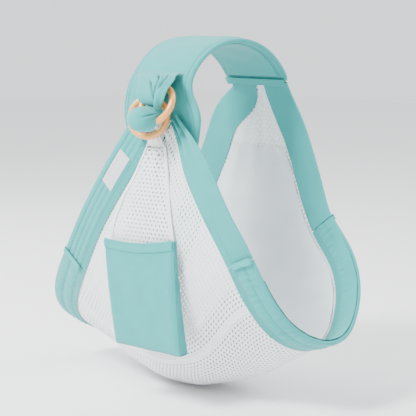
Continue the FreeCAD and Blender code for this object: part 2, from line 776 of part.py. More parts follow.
# Pocket: a cloth front that stands off the tail, a gusset each side and a base.
pocket_rows = tail_rows[4:]
PLY0 = MESH_T / 2 + 0.3


def front_off(t, drop):
    # distance of the front from the tail across its width, at a share of the height
    deep = PLY0 + POCKET_DEEP
    base = deep + (GUSSET_BASE - POCKET_DEEP) * drop * (0.5 + 0.5 * t)
    return base


def pocket_grid(off0, shares):
    out = []
    for k, row in enumerate(pocket_rows):
        drop = k / float(len(pocket_rows) - 1)
        z, x, y, half = row
        line = []
        for t in shares:
            sag = 7.0 * (1 - t * t) * (1 - drop) - 5.0 * t * (1 - drop)
            line.append(V(x, y, z - sag) + E1 * (half * t) + OUT * (front_off(t, drop) + off0))
        out.append(line)
    return out


save(grid_solid(pocket_grid(CLOTH_T, SHARES), pocket_grid(0.0, SHARES)), "pocket_front")

hem_hi = []
hem_lo = []
for d in (0.0, 0.5, 1.0):
    z, x, y, half = pocket_rows[0]
    z = z - HEM_STRIP * d
    hi = []
    lo = []
    for t in SHARES:
        sag = 7.0 * (1 - t * t) - 5.0 * t
        p = V(x + 0.6 * d, y, z - sag) + E1 * (half * t)
        off = front_off(t, HEM_STRIP * d / POCKET_H)
        hi.append(p + OUT * (off + CLOTH_T + 0.6 + CLOTH_T))
        lo.append(p + OUT * (off + CLOTH_T + 0.6))
    hem_hi.append(hi)
    hem_lo.append(lo)
save(grid_solid(hem_hi, hem_lo), "pocket_hem")


def gusset(t, name):
    # side wall between the tail and the pocket front
    wires = []
    for k, row in enumerate(pocket_rows):
        drop = k / float(len(pocket_rows) - 1)
        z, x, y, half = row
        z = z - (4.0 if k == 0 and t < 0 else 0.0)
        deep = front_off(t, drop) - 0.3
        edge = V(x, y, z) + E1 * (half * t)
        step = E1 * (-CLOTH_T * t)
        wires.append(polygon([edge + OUT * PLY0, edge + OUT * deep, edge + OUT * deep + step, edge + OUT * PLY0 + step]))
    save(loft(wires), name)


gusset(-1.0, "pocket_gusset_left")
gusset(1.0, "pocket_gusset_right")

z, x, y, half = pocket_rows[-1]
base = []
for t in (-1.0, 1.0):
    edge = V(x, y, z + 0.2) + E1 * ((half - CLOTH_T - 0.4) * t)
    deep = front_off(t, 1.0) - 0.3
    base.append(polygon([edge + OUT * PLY0, edge + OUT * deep, edge + OUT * deep + V(0, 0, CLOTH_T),
                         edge + OUT * PLY0 + V(0, 0, CLOTH_T)]))
save(loft(base), "pocket_base")
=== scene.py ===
import math

import bpy
import numpy as np
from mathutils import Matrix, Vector


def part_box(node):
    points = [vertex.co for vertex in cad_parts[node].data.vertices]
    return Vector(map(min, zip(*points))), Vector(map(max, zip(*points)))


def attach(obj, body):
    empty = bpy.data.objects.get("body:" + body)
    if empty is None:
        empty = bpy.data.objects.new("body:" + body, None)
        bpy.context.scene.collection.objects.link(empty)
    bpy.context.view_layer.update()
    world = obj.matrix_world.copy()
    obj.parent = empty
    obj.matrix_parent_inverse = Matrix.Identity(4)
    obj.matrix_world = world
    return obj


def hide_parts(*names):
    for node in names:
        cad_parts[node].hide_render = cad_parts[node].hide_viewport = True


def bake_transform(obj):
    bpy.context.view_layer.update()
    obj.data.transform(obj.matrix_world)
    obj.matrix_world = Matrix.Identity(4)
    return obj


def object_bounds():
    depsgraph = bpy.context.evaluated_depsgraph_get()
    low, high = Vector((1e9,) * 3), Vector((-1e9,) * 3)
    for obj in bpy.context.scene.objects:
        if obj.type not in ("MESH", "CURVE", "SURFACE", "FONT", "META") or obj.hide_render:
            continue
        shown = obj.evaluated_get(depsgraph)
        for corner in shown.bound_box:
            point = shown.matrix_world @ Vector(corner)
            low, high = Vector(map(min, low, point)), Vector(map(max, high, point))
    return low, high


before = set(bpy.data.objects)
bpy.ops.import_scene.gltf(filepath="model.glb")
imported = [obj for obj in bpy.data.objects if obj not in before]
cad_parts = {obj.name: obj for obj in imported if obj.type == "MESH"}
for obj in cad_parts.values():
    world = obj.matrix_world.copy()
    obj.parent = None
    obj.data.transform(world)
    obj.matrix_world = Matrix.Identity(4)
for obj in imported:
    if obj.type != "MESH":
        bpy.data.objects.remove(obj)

cad_low, cad_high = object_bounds()

# Camera, floor and light.
# The sling is seen from its right front quarter, a little from above, over a plain pale
# floor under wide soft lamps.
AZIMUTH, ELEVATION = math.radians(44.0), math.radians(8.0)
aim = Vector((0.0, 0.0, (cad_low.z + cad_high.z) / 2 + 0.008))
away = Vector((math.sin(AZIMUTH) * math.cos(ELEVATION), -math.cos(AZIMUTH) * math.cos(ELEVATION),
               math.sin(ELEVATION)))
bpy.ops.object.camera_add(location=aim + away * 2.6)
camera = bpy.context.object
camera.rotation_mode = "QUATERNION"
camera.rotation_quaternion = (-away).to_track_quat("-Z", "Y")
camera.data.lens = 121
camera.data.sensor_width = 36
bpy.context.scene.camera = camera

bpy.ops.mesh.primitive_plane_add(size=14, location=(0, 0, cad_low.z - 0.004))
floor = bpy.context.object
floor.name = "floor"
paper = bpy.data.materials.new("pale_floor")
paper.use_nodes = True
paper.node_tree.nodes["Principled BSDF"].inputs["Base Color"].default_value = (0.93, 0.93, 0.93, 1)
paper.node_tree.nodes["Principled BSDF"].inputs["Roughness"].default_value = 0.9
floor.data.materials.append(paper)

sky = bpy.data.worlds.new("studio")
bpy.context.scene.world = sky
sky.use_nodes = True
sky.node_tree.nodes["Background"].inputs["Color"].default_value = (0.95, 0.97, 1.0, 1)
sky.node_tree.nodes["Background"].inputs["Strength"].default_value = 1.5
for place, size, power in (((-0.3, -2.3, 2.0), 0.9, 215), ((-2.3, -0.2, 1.3), 1.2, 60), ((1.4, 1.6, 1.9), 1.4, 50)):
    bpy.ops.object.light_add(type="AREA", location=place)
    lamp = bpy.context.object
    lamp.rotation_mode = "QUATERNION"
    lamp.rotation_quaternion = (aim - Vector(place)).to_track_quat("-Z", "Y")
    lamp.data.size = size
    lamp.data.energy = power


# Shoulder pad.
# A cushion of foam between a cotton cover and a cotton lining, shaped over the shoulder
# and hanging down in front as a rounded flap. Its edge is bound and stitched through.
class Line:
    """A smooth line through points, read at its marks, which are lengths unless given."""

    def __init__(self, points, marks=None):
        p = np.array(points, float)
        if marks is None:
            marks = np.r_[0.0, np.cumsum(np.linalg.norm(np.diff(p, axis=0), axis=1))]
        n, h = len(p), np.diff(marks)
        a, r = np.eye(n), np.zeros_like(p)
        for i in range(1, n - 1):
            a[i, i - 1:i + 2] = h[i - 1], 2 * (h[i - 1] + h[i]), h[i]
            r[i] = 6 * ((p[i + 1] - p[i]) / h[i] - (p[i] - p[i - 1]) / h[i - 1])
        self.points, self.marks, self.bend = p, marks, np.linalg.solve(a, r)

    def at(self, t):
        t = np.asarray(t, float)
        i = np.clip(np.searchsorted(self.marks, t, side="right") - 1, 0, len(self.marks) - 2)
        h = (self.marks[i + 1] - self.marks[i])[..., None]
        b = (t - self.marks[i])[..., None] / h
        a = 1 - b
        return (a * self.points[i] + b * self.points[i + 1]
                + ((a**3 - a) * self.bend[i] + (b**3 - b) * self.bend[i + 1]) * h**2 / 6)

    def even(self, count, start=0.0, end=1.0):
        t = np.linspace(self.marks[0], self.marks[-1], 900)
        gone = np.r_[0.0, np.cumsum(np.linalg.norm(np.diff(self.at(t), axis=0), axis=1))]
        return self.at(np.interp(np.linspace(start, end, count + 1) * gone[-1], gone, t))


def unit(v):
    return v / np.maximum(np.linalg.norm(v, axis=-1, keepdims=True), 1e-12)


def ease(t):
    t = np.clip(t, 0.0, 1.0)
    return t * t * (3 - 2 * t)


ONE_WAVE = 6.2832  # a full turn, in radians


def ripple(x, y, seed, short, long, turn=(0.0, math.pi), waves=7):
    """Soft uneven waves over a cloth, between -1 and 1, with crests across the given turns."""
    rng = np.random.default_rng(seed)
    total = 0.0
    for _ in range(waves):
        length, angle, shift = rng.uniform(short, long), rng.uniform(*turn), rng.uniform(0, 6.28)
        total = total + np.sin(ONE_WAVE * (x * math.cos(angle) + y * math.sin(angle)) / length + shift)
    return total / waves * 1.6


def named(name):
    """The piece that was just added, with its name."""
    piece = bpy.context.object
    piece.name = piece.data.name = name
    return piece


def mark_cloth(mesh, flat, fold=None):
    """Writes each point's place on the cut as the UV map, and its painted light and shade as the fold attribute."""
    corner = np.zeros(len(mesh.loops), np.int32)
    mesh.loops.foreach_get("vertex_index", corner)
    mesh.uv_layers[0].data.foreach_set("uv", flat.reshape(-1, 2)[corner].astype(np.float32).ravel())
    if fold is not None:
        painted_shading = mesh.attributes.new("fold", "FLOAT", "POINT")
        painted_shading.data.foreach_set("value", np.ascontiguousarray(fold, np.float32).ravel())


def lay_grid(name, points, flat=None, fold=None):
    """A grid of cloth through rows of points, with its cut's own width and length as its UV map."""
    n, m = points.shape[:2]
    bpy.ops.object.select_all(action="DESELECT")
    bpy.ops.mesh.primitive_grid_add(x_subdivisions=m - 1, y_subdivisions=n - 1, size=1)
    piece = named(name)
    mesh = piece.data
    mesh.vertices.foreach_set("co", np.ascontiguousarray(points, np.float32).ravel())
    if flat is None:
        across = np.linalg.norm(np.diff(points, axis=1), axis=2).mean(0)
        along = np.linalg.norm(np.diff(points, axis=0), axis=2).mean(1)
        flat = np.stack(np.meshgrid(np.r_[0, np.cumsum(across)], np.r_[0, np.cumsum(along)]), -1)
    mark_cloth(mesh, flat, fold)
    mesh.update()
    return piece


def cut_size(points):
    """Width and length of the cloth in a grid, measured along it, in metres."""
    across = np.linalg.norm(np.diff(points, axis=1), axis=2).sum(1).mean()
    along = np.linalg.norm(np.diff(points, axis=0), axis=2).sum(0).mean()
    return round(float(across), 3), round(float(along), 3)


def alone(piece):
    bpy.ops.object.select_all(action="DESELECT")
    piece.select_set(True)
    bpy.context.view_layer.objects.active = piece


def close_up(piece, near=2e-5, cap=False):
    """Joins the points that meet, caps the open ends if asked, and turns the faces outwards."""
    alone(piece)
    bpy.ops.object.mode_set(mode="EDIT")
    bpy.ops.mesh.select_all(action="SELECT")
    bpy.ops.mesh.remove_doubles(threshold=near)
    if cap:
        bpy.ops.mesh.fill_holes(sides=0)
    else:
        bpy.ops.mesh.dissolve_degenerate(threshold=1e-6)
    bpy.ops.mesh.normals_make_consistent(inside=False)
    bpy.ops.object.mode_set(mode="OBJECT")


def ply(piece, thick):
    """Gives a sheet the thickness of its cloth."""
    alone(piece)
    shell = piece.modifiers.new("ply", "SOLIDIFY")
    shell.thickness, shell.offset = thick, 0.0
    bpy.ops.object.modifier_apply(modifier=shell.name)


def pillow(name, place, u, v, half, fold=None):
    """A closed piece between two faces that meet at its edge, from place(u, v, height) and half its
    thickness."""
    uu, vv = np.meshgrid(u, v)
    h = half(uu, vv)
    points = np.concatenate([place(uu, vv, h), place(uu, vv, -h)[:, ::-1]], axis=1)
    painted_shading = None if fold is None else np.concatenate([fold(uu, vv), fold(uu, vv)[:, ::-1]], axis=1)
    piece = lay_grid(name, points, None, painted_shading)
    close_up(piece)
    return piece


def dress(piece, finish, body, slot, *nodes, smooth=55.0):
    """Puts a piece in its finish, on its body, in place of the solids that it stands for."""
    alone(piece)
    bpy.ops.object.shade_smooth_by_angle(angle=math.radians(smooth))
    piece.data.materials.clear()
    piece.data.materials.append(finish)
    if body:
        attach(piece, body)
    if nodes:
        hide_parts(*nodes)
    return piece


def cloth(name, points, thick, finish, body, slot, *nodes, flat=None, fold=None, smooth=55.0):
    """A sheet of cloth through rows of points, with its thickness, finish and body."""
    piece = lay_grid(name, points, flat, fold)
    ply(piece, thick)
    return dress(piece, finish, body, slot, *nodes, smooth=smooth)


class Shade:
    """A socket of a finish's nodes; sums on it add the maths nodes."""

    def __init__(self, tree, socket=None):
        self.tree, self.socket = tree, socket

    def make(self, kind, settings, inputs, out=0):
        node = self.tree.nodes.new("ShaderNode" + kind)
        for name, value in settings.items():
            setattr(node, name, value)
        for name, value in inputs.items():
            if isinstance(value, Shade):
                self.tree.links.new(value.socket, node.inputs[name])
            else:
                node.inputs[name].default_value = value
        return Shade(self.tree, node.outputs[out])

    def sum(self, operation, a, b=0.0):
        return self.make("Math", {"operation": operation}, {0: a, 1: b})

    def __add__(self, other):
        return self.sum("ADD", self, other)

    def __mul__(self, other):
        return self.sum("MULTIPLY", self, other)

    def __sub__(self, other):
        return self.sum("SUBTRACT", self, other)

    def __rsub__(self, other):
        return self.sum("SUBTRACT", other, self)

    __radd__, __rmul__ = __add__, __mul__

    def sine(self):
        return self.sum("SINE", self)

    def size(self):
        return self.sum("ABSOLUTE", self)

    def clear(self):
        """Held between 0 and 1."""
        return self.make("Clamp", {}, {"Value": self})

    def blend(self, low, high):
        """From one colour to another as this goes from 0 to 1."""
        sides = {0: self, 6: low, 7: high}
        return self.make("Mix", {"data_type": "RGBA"}, sides, 2)


def new_finish(name, **constants):
    """A new material: its start, its own shader, and a way to link into that."""
    finish = bpy.data.materials.new(name)
    finish.use_nodes = True
    shader = finish.node_tree.nodes["Principled BSDF"]
    for key, value in constants.items():
        shader.inputs[key.replace("_", " ")].default_value = value
    start = Shade(finish.node_tree)

    def link(**values):
        for key, value in values.items():
            finish.node_tree.links.new(value.socket, shader.inputs[key.replace("_", " ")])

    return finish, start, link


def rgb(r, g, b, k=1.0):
    return (r * k, g * k, b * k, 1.0)


def thread_axes(start):
    """The cut of the cloth as a place, and as lengths across it and down it."""
    cut = start.make("TexCoord", {}, {}, "UV")
    axes = start.make("SeparateXYZ", {}, {"Vector": cut})
    return cut, axes, Shade(start.tree, axes.socket.node.outputs[1])


def bump(start, height, distance, strength):
    return start.make("Bump", {}, {"Height": height, "Distance": distance, "Strength": strength})


def woven(name, colour, thread, relief, sheen=0.25, rough=0.82, mottle=0.10):
    """Plain woven cloth: threads over and under, slubs, a soft mottle, painted highlights and painted shade in
    creases.
    """
    finish, start, link = new_finish(name, Sheen_Weight=sheen, Sheen_Roughness=0.45, Specular_IOR_Level=0.25)
    cut, axes, down = thread_axes(start)
    place = start.make("TexCoord", {}, {}, "Object")
    warp, weft = (axes * (ONE_WAVE / thread)).sine(), (down * (ONE_WAVE / thread)).sine()
    weave = (warp * weft) * 0.5 + 0.5
    slub = start.make("TexNoise", {}, {"Vector": start.make("Mapping", {}, {"Vector": cut, "Scale": (240, 1500, 1)}),
                                       "Scale": 1.0, "Detail": 2.0})
    pool = start.make("TexNoise", {}, {"Vector": place, "Scale": 22.0, "Detail": 3.0})
    # The fold attribute carries painted shading: values above zero paint highlights on crowns and edges, values below
    # zero paint shade in creases and seams.
    fold = start.make("Attribute", {"attribute_name": "fold"}, {}, "Fac")
    tone = ((pool - 0.5) * (2 * mottle) + (slub - 0.5) * 0.16 + (weave - 0.5) * 0.10 + fold * 0.5 + 0.5).clear()
    # Painted shadow: the deepest creases, slits and seams are darkened almost to black.
    deep = (fold * -1.4 - 0.6).clear()
    link(Base_Color=deep.blend(tone.blend(rgb(*colour, 0.62), rgb(*colour, 1.32)), rgb(*colour, 0.12)),
         Roughness=(rough + (slub - 0.5) * 0.14 - weave * 0.05).clear(),
         Normal=bump(start, weave * 0.6 + slub * 0.5, relief, 0.8))
    return finish


TEAL = (0.034, 0.345, 0.335)
cotton = woven("woven_cotton", TEAL, 0.0011, 0.00025)
cotton_lining = woven("cotton_lining", (0.036, 0.350, 0.340), 0.0009, 0.0002, mottle=0.07)
edging = woven("bias_edging", (0.030, 0.325, 0.315), 0.0008, 0.0002, mottle=0.06)
thread = woven("sewing_thread", (0.06, 0.42, 0.405), 0.0004, 0.0001, sheen=0.5, rough=0.6, mottle=0.03)


def from_faces(name, points, faces):
    """A piece from its points and faces, with an empty UV map."""
    mesh = bpy.data.meshes.new(name)
    mesh.from_pydata(points.tolist(), [], faces)
    mesh.uv_layers.new(name="UVMap")
    piece = bpy.data.objects.new(name, mesh)
    bpy.context.scene.collection.objects.link(piece)
    return piece


def stitches(name, runs, finish, body, slot, size=0.0034, gap=0.0014, thick=0.00036):
    """Rows of sewn stitches, each a short thread that dips into the cloth at both ends.
    A run is its points and the directions out of the cloth there."""
    points, faces = [], []
    sides = np.arange(5) * 2 * math.pi / 5
    for line, out in runs:
        gone = np.r_[0.0, np.cumsum(np.linalg.norm(np.diff(line, axis=0), axis=1))]
        starts = np.arange(gap, gone[-1] - size, size + gap)
        for a in starts:
            marks = a + size * np.array([0.0, 0.16, 0.5, 0.84, 1.0])
            p = np.stack([np.interp(marks, gone, line[:, k]) for k in range(3)], -1)
            o = unit(np.stack([np.interp(marks, gone, out[:, k]) for k in range(3)], -1))
            t = unit(np.gradient(p, axis=0))
            s = unit(np.cross(t, o))
            wide = thick * np.array([0.3, 0.9, 1.0, 0.9, 0.3])[:, None, None]
            rise = (thick * np.array([-0.8, 0.5, 0.8, 0.5, -0.8]))[:, None]
            ring = ((p + o * rise)[:, None] + s[:, None] * np.cos(sides)[None, :, None] * wide
                    + o[:, None] * np.sin(sides)[None, :, None] * wide * 0.8)
            base = len(points) * 5
            points.extend(ring)
            for k in range(4):
                for j in range(5):
                    b = base + k * 5
                    faces.append((b + j, b + (j + 1) % 5, b + 5 + (j + 1) % 5, b + 5 + j))
            faces.append(tuple(base + j for j in range(4, -1, -1)))
            faces.append(tuple(base + 20 + j for j in range(5)))
    piece = from_faces(name, np.concatenate(points), faces)
    close_up(piece, 1e-7)
    return dress(piece, finish, body, slot)


# How far the sling's own width, depth and height are from their usual ones.
WIDE = (cad_high.x - cad_low.x) / 0.6544
DEEP = (cad_high.y - cad_low.y) / 0.3869
TALL = -cad_low.z / 0.6377
SEAT_R, CORNER_R, CURL_R = 0.146, 0.045, 0.120
SEAT_FROM, SEAT_TO = math.radians(30), math.radians(144)
corner = np.array([(SEAT_R - CORNER_R) * math.cos(SEAT_TO), -SEAT_R + (SEAT_R - CORNER_R) * math.sin(SEAT_TO)])
FLAP_Y = corner[0] - CORNER_R
STRAIGHT = 0.136 + corner[1]
PAD_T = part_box("pad_binding")[1].z - 0.0008
LENGTHS = np.cumsum([0.0, SEAT_R * (SEAT_TO - SEAT_FROM), CORNER_R * (math.pi - SEAT_TO), STRAIGHT, 0.08])


def on_pad(x, along, depth):
    """A point of the pad: across it, along it from its back end, and out from its inner face."""
    along = np.asarray(along, float)
    a = SEAT_FROM + np.minimum(along, LENGTHS[1]) / SEAT_R
    seat = (SEAT_R + depth) * np.cos(a), -SEAT_R + (SEAT_R + depth) * np.sin(a)
    b = SEAT_TO + np.clip(along - LENGTHS[1], 0, LENGTHS[2] - LENGTHS[1]) / CORNER_R
    bend = corner[0] + (CORNER_R + depth) * np.cos(b), corner[1] + (CORNER_R + depth) * np.sin(b)
    drop = FLAP_Y - depth, corner[1] - (along - LENGTHS[2])
    c = math.pi + np.clip(along - LENGTHS[3], 0, None) / CURL_R
    curl = FLAP_Y + CURL_R + (CURL_R + depth) * np.cos(c), -0.136 + (CURL_R + depth) * np.sin(c)
    where = [along < LENGTHS[1], along < LENGTHS[2], along < LENGTHS[3], along >= LENGTHS[3]]
    y = np.select(where, [k[0] for k in (seat, bend, drop, curl)])
    z = np.select(where, [k[1] for k in (seat, bend, drop, curl)])
    return np.stack(np.broadcast_arrays(x, y, z), -1)


reach = np.linspace(SEAT_R, LENGTHS[4], 500)
reach_z = on_pad(0.0, reach, 0.0)[:, 2]


def hang(x, z):
    """Across and along the pad for a point of the flap's outline, given its height."""
    return x, float(np.interp(-z, -reach_z, reach))


LEFT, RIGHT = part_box("pad_back_hem")[0].x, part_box("pad_back_hem")[1].x
LEAN = 0.006
flap_right = Line([(RIGHT, 0.0), (RIGHT, 0.14), hang(RIGHT, -0.046), hang(RIGHT + 0.0114, -0.084),
                   hang(RIGHT + 0.029, -0.117), hang(RIGHT + 0.028, -0.146), hang(RIGHT + 0.017, -0.174)])
flap_left = Line([(LEFT, 0.0), (LEFT, 0.14), hang(LEFT + LEAN / 2, -0.024), hang(LEFT + LEAN, -0.060),
                  hang(LEFT - LEAN, -0.123), hang(LEFT + 0.0055, -0.165)])
flap_foot = Line([hang(LEFT + 0.0055, -0.165), hang(LEFT + 0.034, -0.193), hang(RIGHT - 0.0616, -0.205),
                  hang(RIGHT - 0.008, -0.196), hang(RIGHT + 0.017, -0.174)])
SIDE_N = 200
pad_sides = flap_left.even(SIDE_N), flap_right.even(SIDE_N)
pad_ends = Line([(LEFT, 0.0), (RIGHT, 0.0)]).even(SIDE_N), flap_foot.even(SIDE_N)


def pad_cut(u, v):
    """Across and along the pad, for shares of its cut's width and length."""
    share = np.linspace(0, 1, SIDE_N + 1)

    def read(line, t):
        return np.stack([np.interp(t, share, line[:, 0]), np.interp(t, share, line[:, 1])], -1)

    left, right, top, foot = read(pad_sides[0], v), read(pad_sides[1], v), read(pad_ends[0], u), read(pad_ends[1], u)
    u, v = u[..., None], v[..., None]
    corners = ((1 - u) * (1 - v) * pad_ends[0][0] + u * (1 - v) * pad_ends[0][-1]
               + (1 - u) * v * pad_ends[1][0] + u * v * pad_ends[1][-1])
    return (1 - v) * top + v * foot + (1 - u) * left + u * right - corners


# The usual width and length of the pad's cut, how far in it is sewn, and half its rim's height.
PAD_WIDE, PAD_LONG, SEWN_IN, RIM = 0.160, 0.425, 0.0088, 0.0042


def pad_edge(u, v):
    """How far in from the nearest edge of the pad."""
    return np.minimum(np.minimum(u, 1 - u) * PAD_WIDE, np.minimum(v, 1 - v) * PAD_LONG)


def pad_place(u, v, h):
    cut = pad_cut(u, v)
    sag = ripple(cut[..., 0], cut[..., 1], 3, 0.05, 0.13) * 0.0009 * ease(pad_edge(u, v) / 0.02)
    return on_pad(cut[..., 0], cut[..., 1], PAD_T / 2 + h + sag)


def pad_half(u, v):
    e = pad_edge(u, v)
    rim = RIM * np.sqrt(np.clip(1 - (1 - np.clip(e / RIM, 0, 1)) ** 2, 0, 1))
    body = (PAD_T / 2 - RIM) * np.sqrt(ease((e - 0.006) / 0.020)) + 0.0008 * ease((e - 0.02) / 0.03)
    return rim + body - 0.0011 * np.exp(-((e - SEWN_IN) / 0.0012) ** 2)


# Painted shading on the pad: a painted highlight along the crest of the rim and painted shade in the groove of the
# sewn line.
def pad_painted_shading(u, v):
    e = pad_edge(u, v)
    return 0.16 * np.exp(-((e - 0.0040) / 0.003) ** 2) - 0.5 * np.exp(-((e - SEWN_IN) / 0.0011) ** 2)


near_edge = np.array([0, 0.0003, 0.0009, 0.0017, 0.0027, 0.0038, 0.005, 0.0062, 0.0072, 0.008, 0.0085, 0.0088,
                      0.0091, 0.0096, 0.0104, 0.0116, 0.013, 0.015, 0.0175, 0.021, 0.025])
pad_u = np.r_[near_edge / PAD_WIDE, np.linspace(0.185, 0.815, 24), 1 - near_edge[::-1] / PAD_WIDE]
pad_v = np.r_[near_edge / PAD_LONG, np.linspace(0.07, 0.93, 90), 1 - near_edge[::-1] / PAD_LONG]
pad = pillow("pad_cushion", pad_place, pad_u, pad_v, pad_half, pad_painted_shading)
dress(pad, cotton, "sling", "cotton", "pad_cover", "pad_foam")

# Pad lining: a second cotton sheet sewn inside the rim against the shoulder.
lining_u, lining_v = np.meshgrid(np.linspace(0.085, 0.915, 40), np.linspace(0.03, 0.965, 110))
lining_points = pad_place(lining_u, lining_v, -pad_half(lining_u, lining_v) - 0.0009)
lining = cloth("pad_inner_lining", lining_points, 0.0010, cotton_lining, "sling", "cotton_lining", "pad_lining")
cut_size(lining_points)

# Pad binding: a bias strip folded round the rim like a soft cord, sewn down on both faces.
around = [(t, 0.0) for t in np.linspace(0.012, 0.988, 60)]
around += [(1.0, t) for t in np.linspace(0.005, 0.988, 150)] + [(t, 1.0) for t in np.linspace(0.975, 0.025, 70)]
around += [(0.0, t) for t in np.linspace(0.988, 0.005, 150)]
around = np.array(around)
rim = pad_place(around[:, 0], around[:, 1], 0.0)
rim = np.stack([np.convolve(np.r_[rim[-3:, k], rim[:, k], rim[:3, k]], np.ones(7) / 7, "valid")
                for k in range(3)], -1)
rim_out = unit(pad_place(around[:, 0], around[:, 1], 0.002) - pad_place(around[:, 0], around[:, 1], -0.002))
rim_along = unit(np.roll(rim, -1, 0) - np.roll(rim, 1, 0))
rim_side = unit(np.cross(rim_along, rim_out))
turns = np.linspace(0, 2 * math.pi, 19)
cord = (rim[:, None] + rim_side[:, None] * np.cos(turns)[None, :, None] * 0.0034
        + rim_out[:, None] * np.sin(turns)[None, :, None] * 0.0040)
cord = np.concatenate([cord, cord[:1]])
piping = lay_grid("pad_bound_edge", cord)
close_up(piping)
dress(piping, edging, "sling", "binding", "pad_binding")

# Hem across the inner face at the back end, where the two rails are caught in.
end_low, end_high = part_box("pad_back_hem")


def end_place(u, v, h):
    x = end_low.x + (end_high.x - end_low.x) * u
    along = 0.0075 - 0.015 * v
    p = on_pad(x, np.maximum(along, 0.0), -0.0019 + h)
    down = np.minimum(along, 0.0)
    return p + np.stack([0 * down, math.sin(SEAT_FROM) * -down, math.cos(SEAT_FROM) * down], -1)


def soft_edge(u, v, wide, tall, thick, lip):
    e = np.minimum(np.minimum(u, 1 - u) * wide, np.minimum(v, 1 - v) * tall)
    return thick * np.sqrt(np.clip(1 - (1 - np.clip(e / lip, 0, 1)) ** 2, 0, 1))


hem_v = np.array([0, 0.02, 0.06, 0.12, 0.2, 0.35, 0.5, 0.65, 0.8, 0.88, 0.94, 0.98, 1])
hem_u = np.r_[0, 0.002, 0.006, 0.012, np.linspace(0.02, 0.98, 60), 0.988, 0.994, 0.998, 1]
back_hem = pillow("pad_end_hem", end_place, hem_u, hem_v, lambda u, v: soft_edge(u, v, 0.151, 0.015, 0.0011, 0.0012))
dress(back_hem, cotton, "sling", "cotton", "pad_back_hem")


def pad_run(path, side):
    """A sewn row on the pad along shares of its cut, on its outer (1) or inner (-1) face."""
    path = np.array(path)
    h = pad_half(path[:, 0], path[:, 1])
    line = pad_place(path[:, 0], path[:, 1], side * (h + 0.0001))
    return line, side * unit(pad_place(path[:, 0], path[:, 1], h) - pad_place(path[:, 0], path[:, 1], -h))


IN_U, IN_V = SEWN_IN / PAD_WIDE, SEWN_IN / PAD_LONG
loop = [(IN_U, t) for t in np.linspace(IN_V, 1 - IN_V, 200)]
loop += [(t, 1 - IN_V) for t in np.linspace(IN_U, 1 - IN_U, 90)]
loop += [(1 - IN_U, t) for t in np.linspace(1 - IN_V, IN_V, 200)]
ends = [[(t, w) for t in np.linspace(IN_U, 1 - IN_U, 90)] for w in (IN_V, 0.052)]
stitches("pad_stitching", [pad_run(loop, 1), pad_run(loop, -1)] + [pad_run(r, 1) for r in ends],
         thread, "sling", "binding")

# Rails.
# Two long bands of doubled cotton carry the pouch. Each is a folded strip, open towards
# the mesh that is sewn into it, padded round the seat and plain where it meets the pad.
STEPS = 54
ST = float(STEPS)
STATION = 0.026  # metres of rail to a station, for the size of its creases
PUFF = 0.0043  # how far the padding lifts the cloth
LAP = 0.015  # the flat lap at the mouth, where the mesh is sewn in
end_mid = on_pad(0.0, 0.0, PAD_T / 2) + np.array([0, math.sin(SEAT_FROM), -math.cos(SEAT_FROM)]) * 0.004
FACE = float(FLAP_Y - PAD_T)


def guide(rows):
    return [(x * WIDE / 1000, y * DEEP / 1000, z * TALL / 1000) for x, y, z in rows]


def to_pad(x, near):
    return [near, (x, end_mid[1] + 0.009, end_mid[2] - 0.018), (x, end_mid[1], end_mid[2])]


right_line = [(0.060, FACE - 0.006, -0.127), (0.080, FACE - 0.0105, -0.147)]
right_line += guide([(114, -160, -187), (150, -163, -242), (185, -160, -299), (215, -150, -354), (238, -125, -425),
                     (257, -95, -475), (268, -55, -505), (277, 0, -520), (275, 40, -513), (263, 80, -485),
                     (242, 115, -442), (209, 135, -390), (157, 145, -335), (111, 150, -236)])
right_line += to_pad(RIGHT - 0.031, (0.075, 0.149, -0.154 * TALL))
left_line = [(-0.018, FACE - 0.015, -0.160)]
left_line += guide([(-58, -162, -215), (-107, -160, -274), (-155, -155, -335), (-205, -145, -405), (-268, -115, -470),
                    (-310, -75, -529), (-316, -28, -562), (-300, 25, -566), (-272, 75, -535), (-240, 115, -480),
                    (-205, 138, -395), (-153, 150, -270), (-118, 150, -200)])
left_line += to_pad(LEFT + 0.033, (-0.080, 0.146, -0.136 * TALL))
middle_line = [(0.022, FACE - 0.017, -0.197)]
middle_line += guide([(12, -162, -250), (5, -165, -310), (2, -165, -380), (0, -157, -450), (0, -110, -575),
                      (0, -30, -632), (0, 40, -628), (0, 110, -560), (0, 148, -430), (0, 155, -280), (4, 150, -150)])
middle_line += [(0.004, end_mid[1] + 0.009, end_mid[2] - 0.018), (0.004, end_mid[1], end_mid[2])]
middle = Line(middle_line).even(STEPS)
stations = np.arange(STEPS + 1.0)


class Rail:
    """One rail's middle line, with its direction towards the mesh and out of the pouch."""

    def __init__(self, line, turn, width):
        line = Line(line).even(STEPS)
        along = unit(np.gradient(line, axis=0))

        def square(w):
            return unit(w - along * (w * along).sum(1, keepdims=True))

        side = square(middle - line)
        for _ in range(3):
            side[1:-1] = unit(side[:-2] + 2 * side[1:-1] + side[2:])
        side = square(side)
        out = unit(turn * np.cross(along, side))
        self.line, self.side, self.out = (Line(k, stations) for k in (line, side, out))
        self.width = width
        self.length = float(np.linalg.norm(np.diff(line, axis=0), axis=1).sum())

    def at(self, s, u, h):
        """Points of the rail: station, distance towards the mesh, height out of the pouch."""
        s, u, h = np.broadcast_arrays(s, u, h)
        flat = s.ravel()
        p = (self.line.at(flat) + unit(self.side.at(flat)) * u.reshape(-1, 1)
             + unit(self.out.at(flat)) * h.reshape(-1, 1))
        return p.reshape(*s.shape, 3)


right = Rail(right_line, -1.0, lambda s: 0.020 + 0.038 * ease(np.asarray(s, float) / (0.11 * ST)))
left = Rail(left_line, 1.0, lambda s: 0.066 + 0.0 * np.asarray(s, float))
SLIT = 0.0019


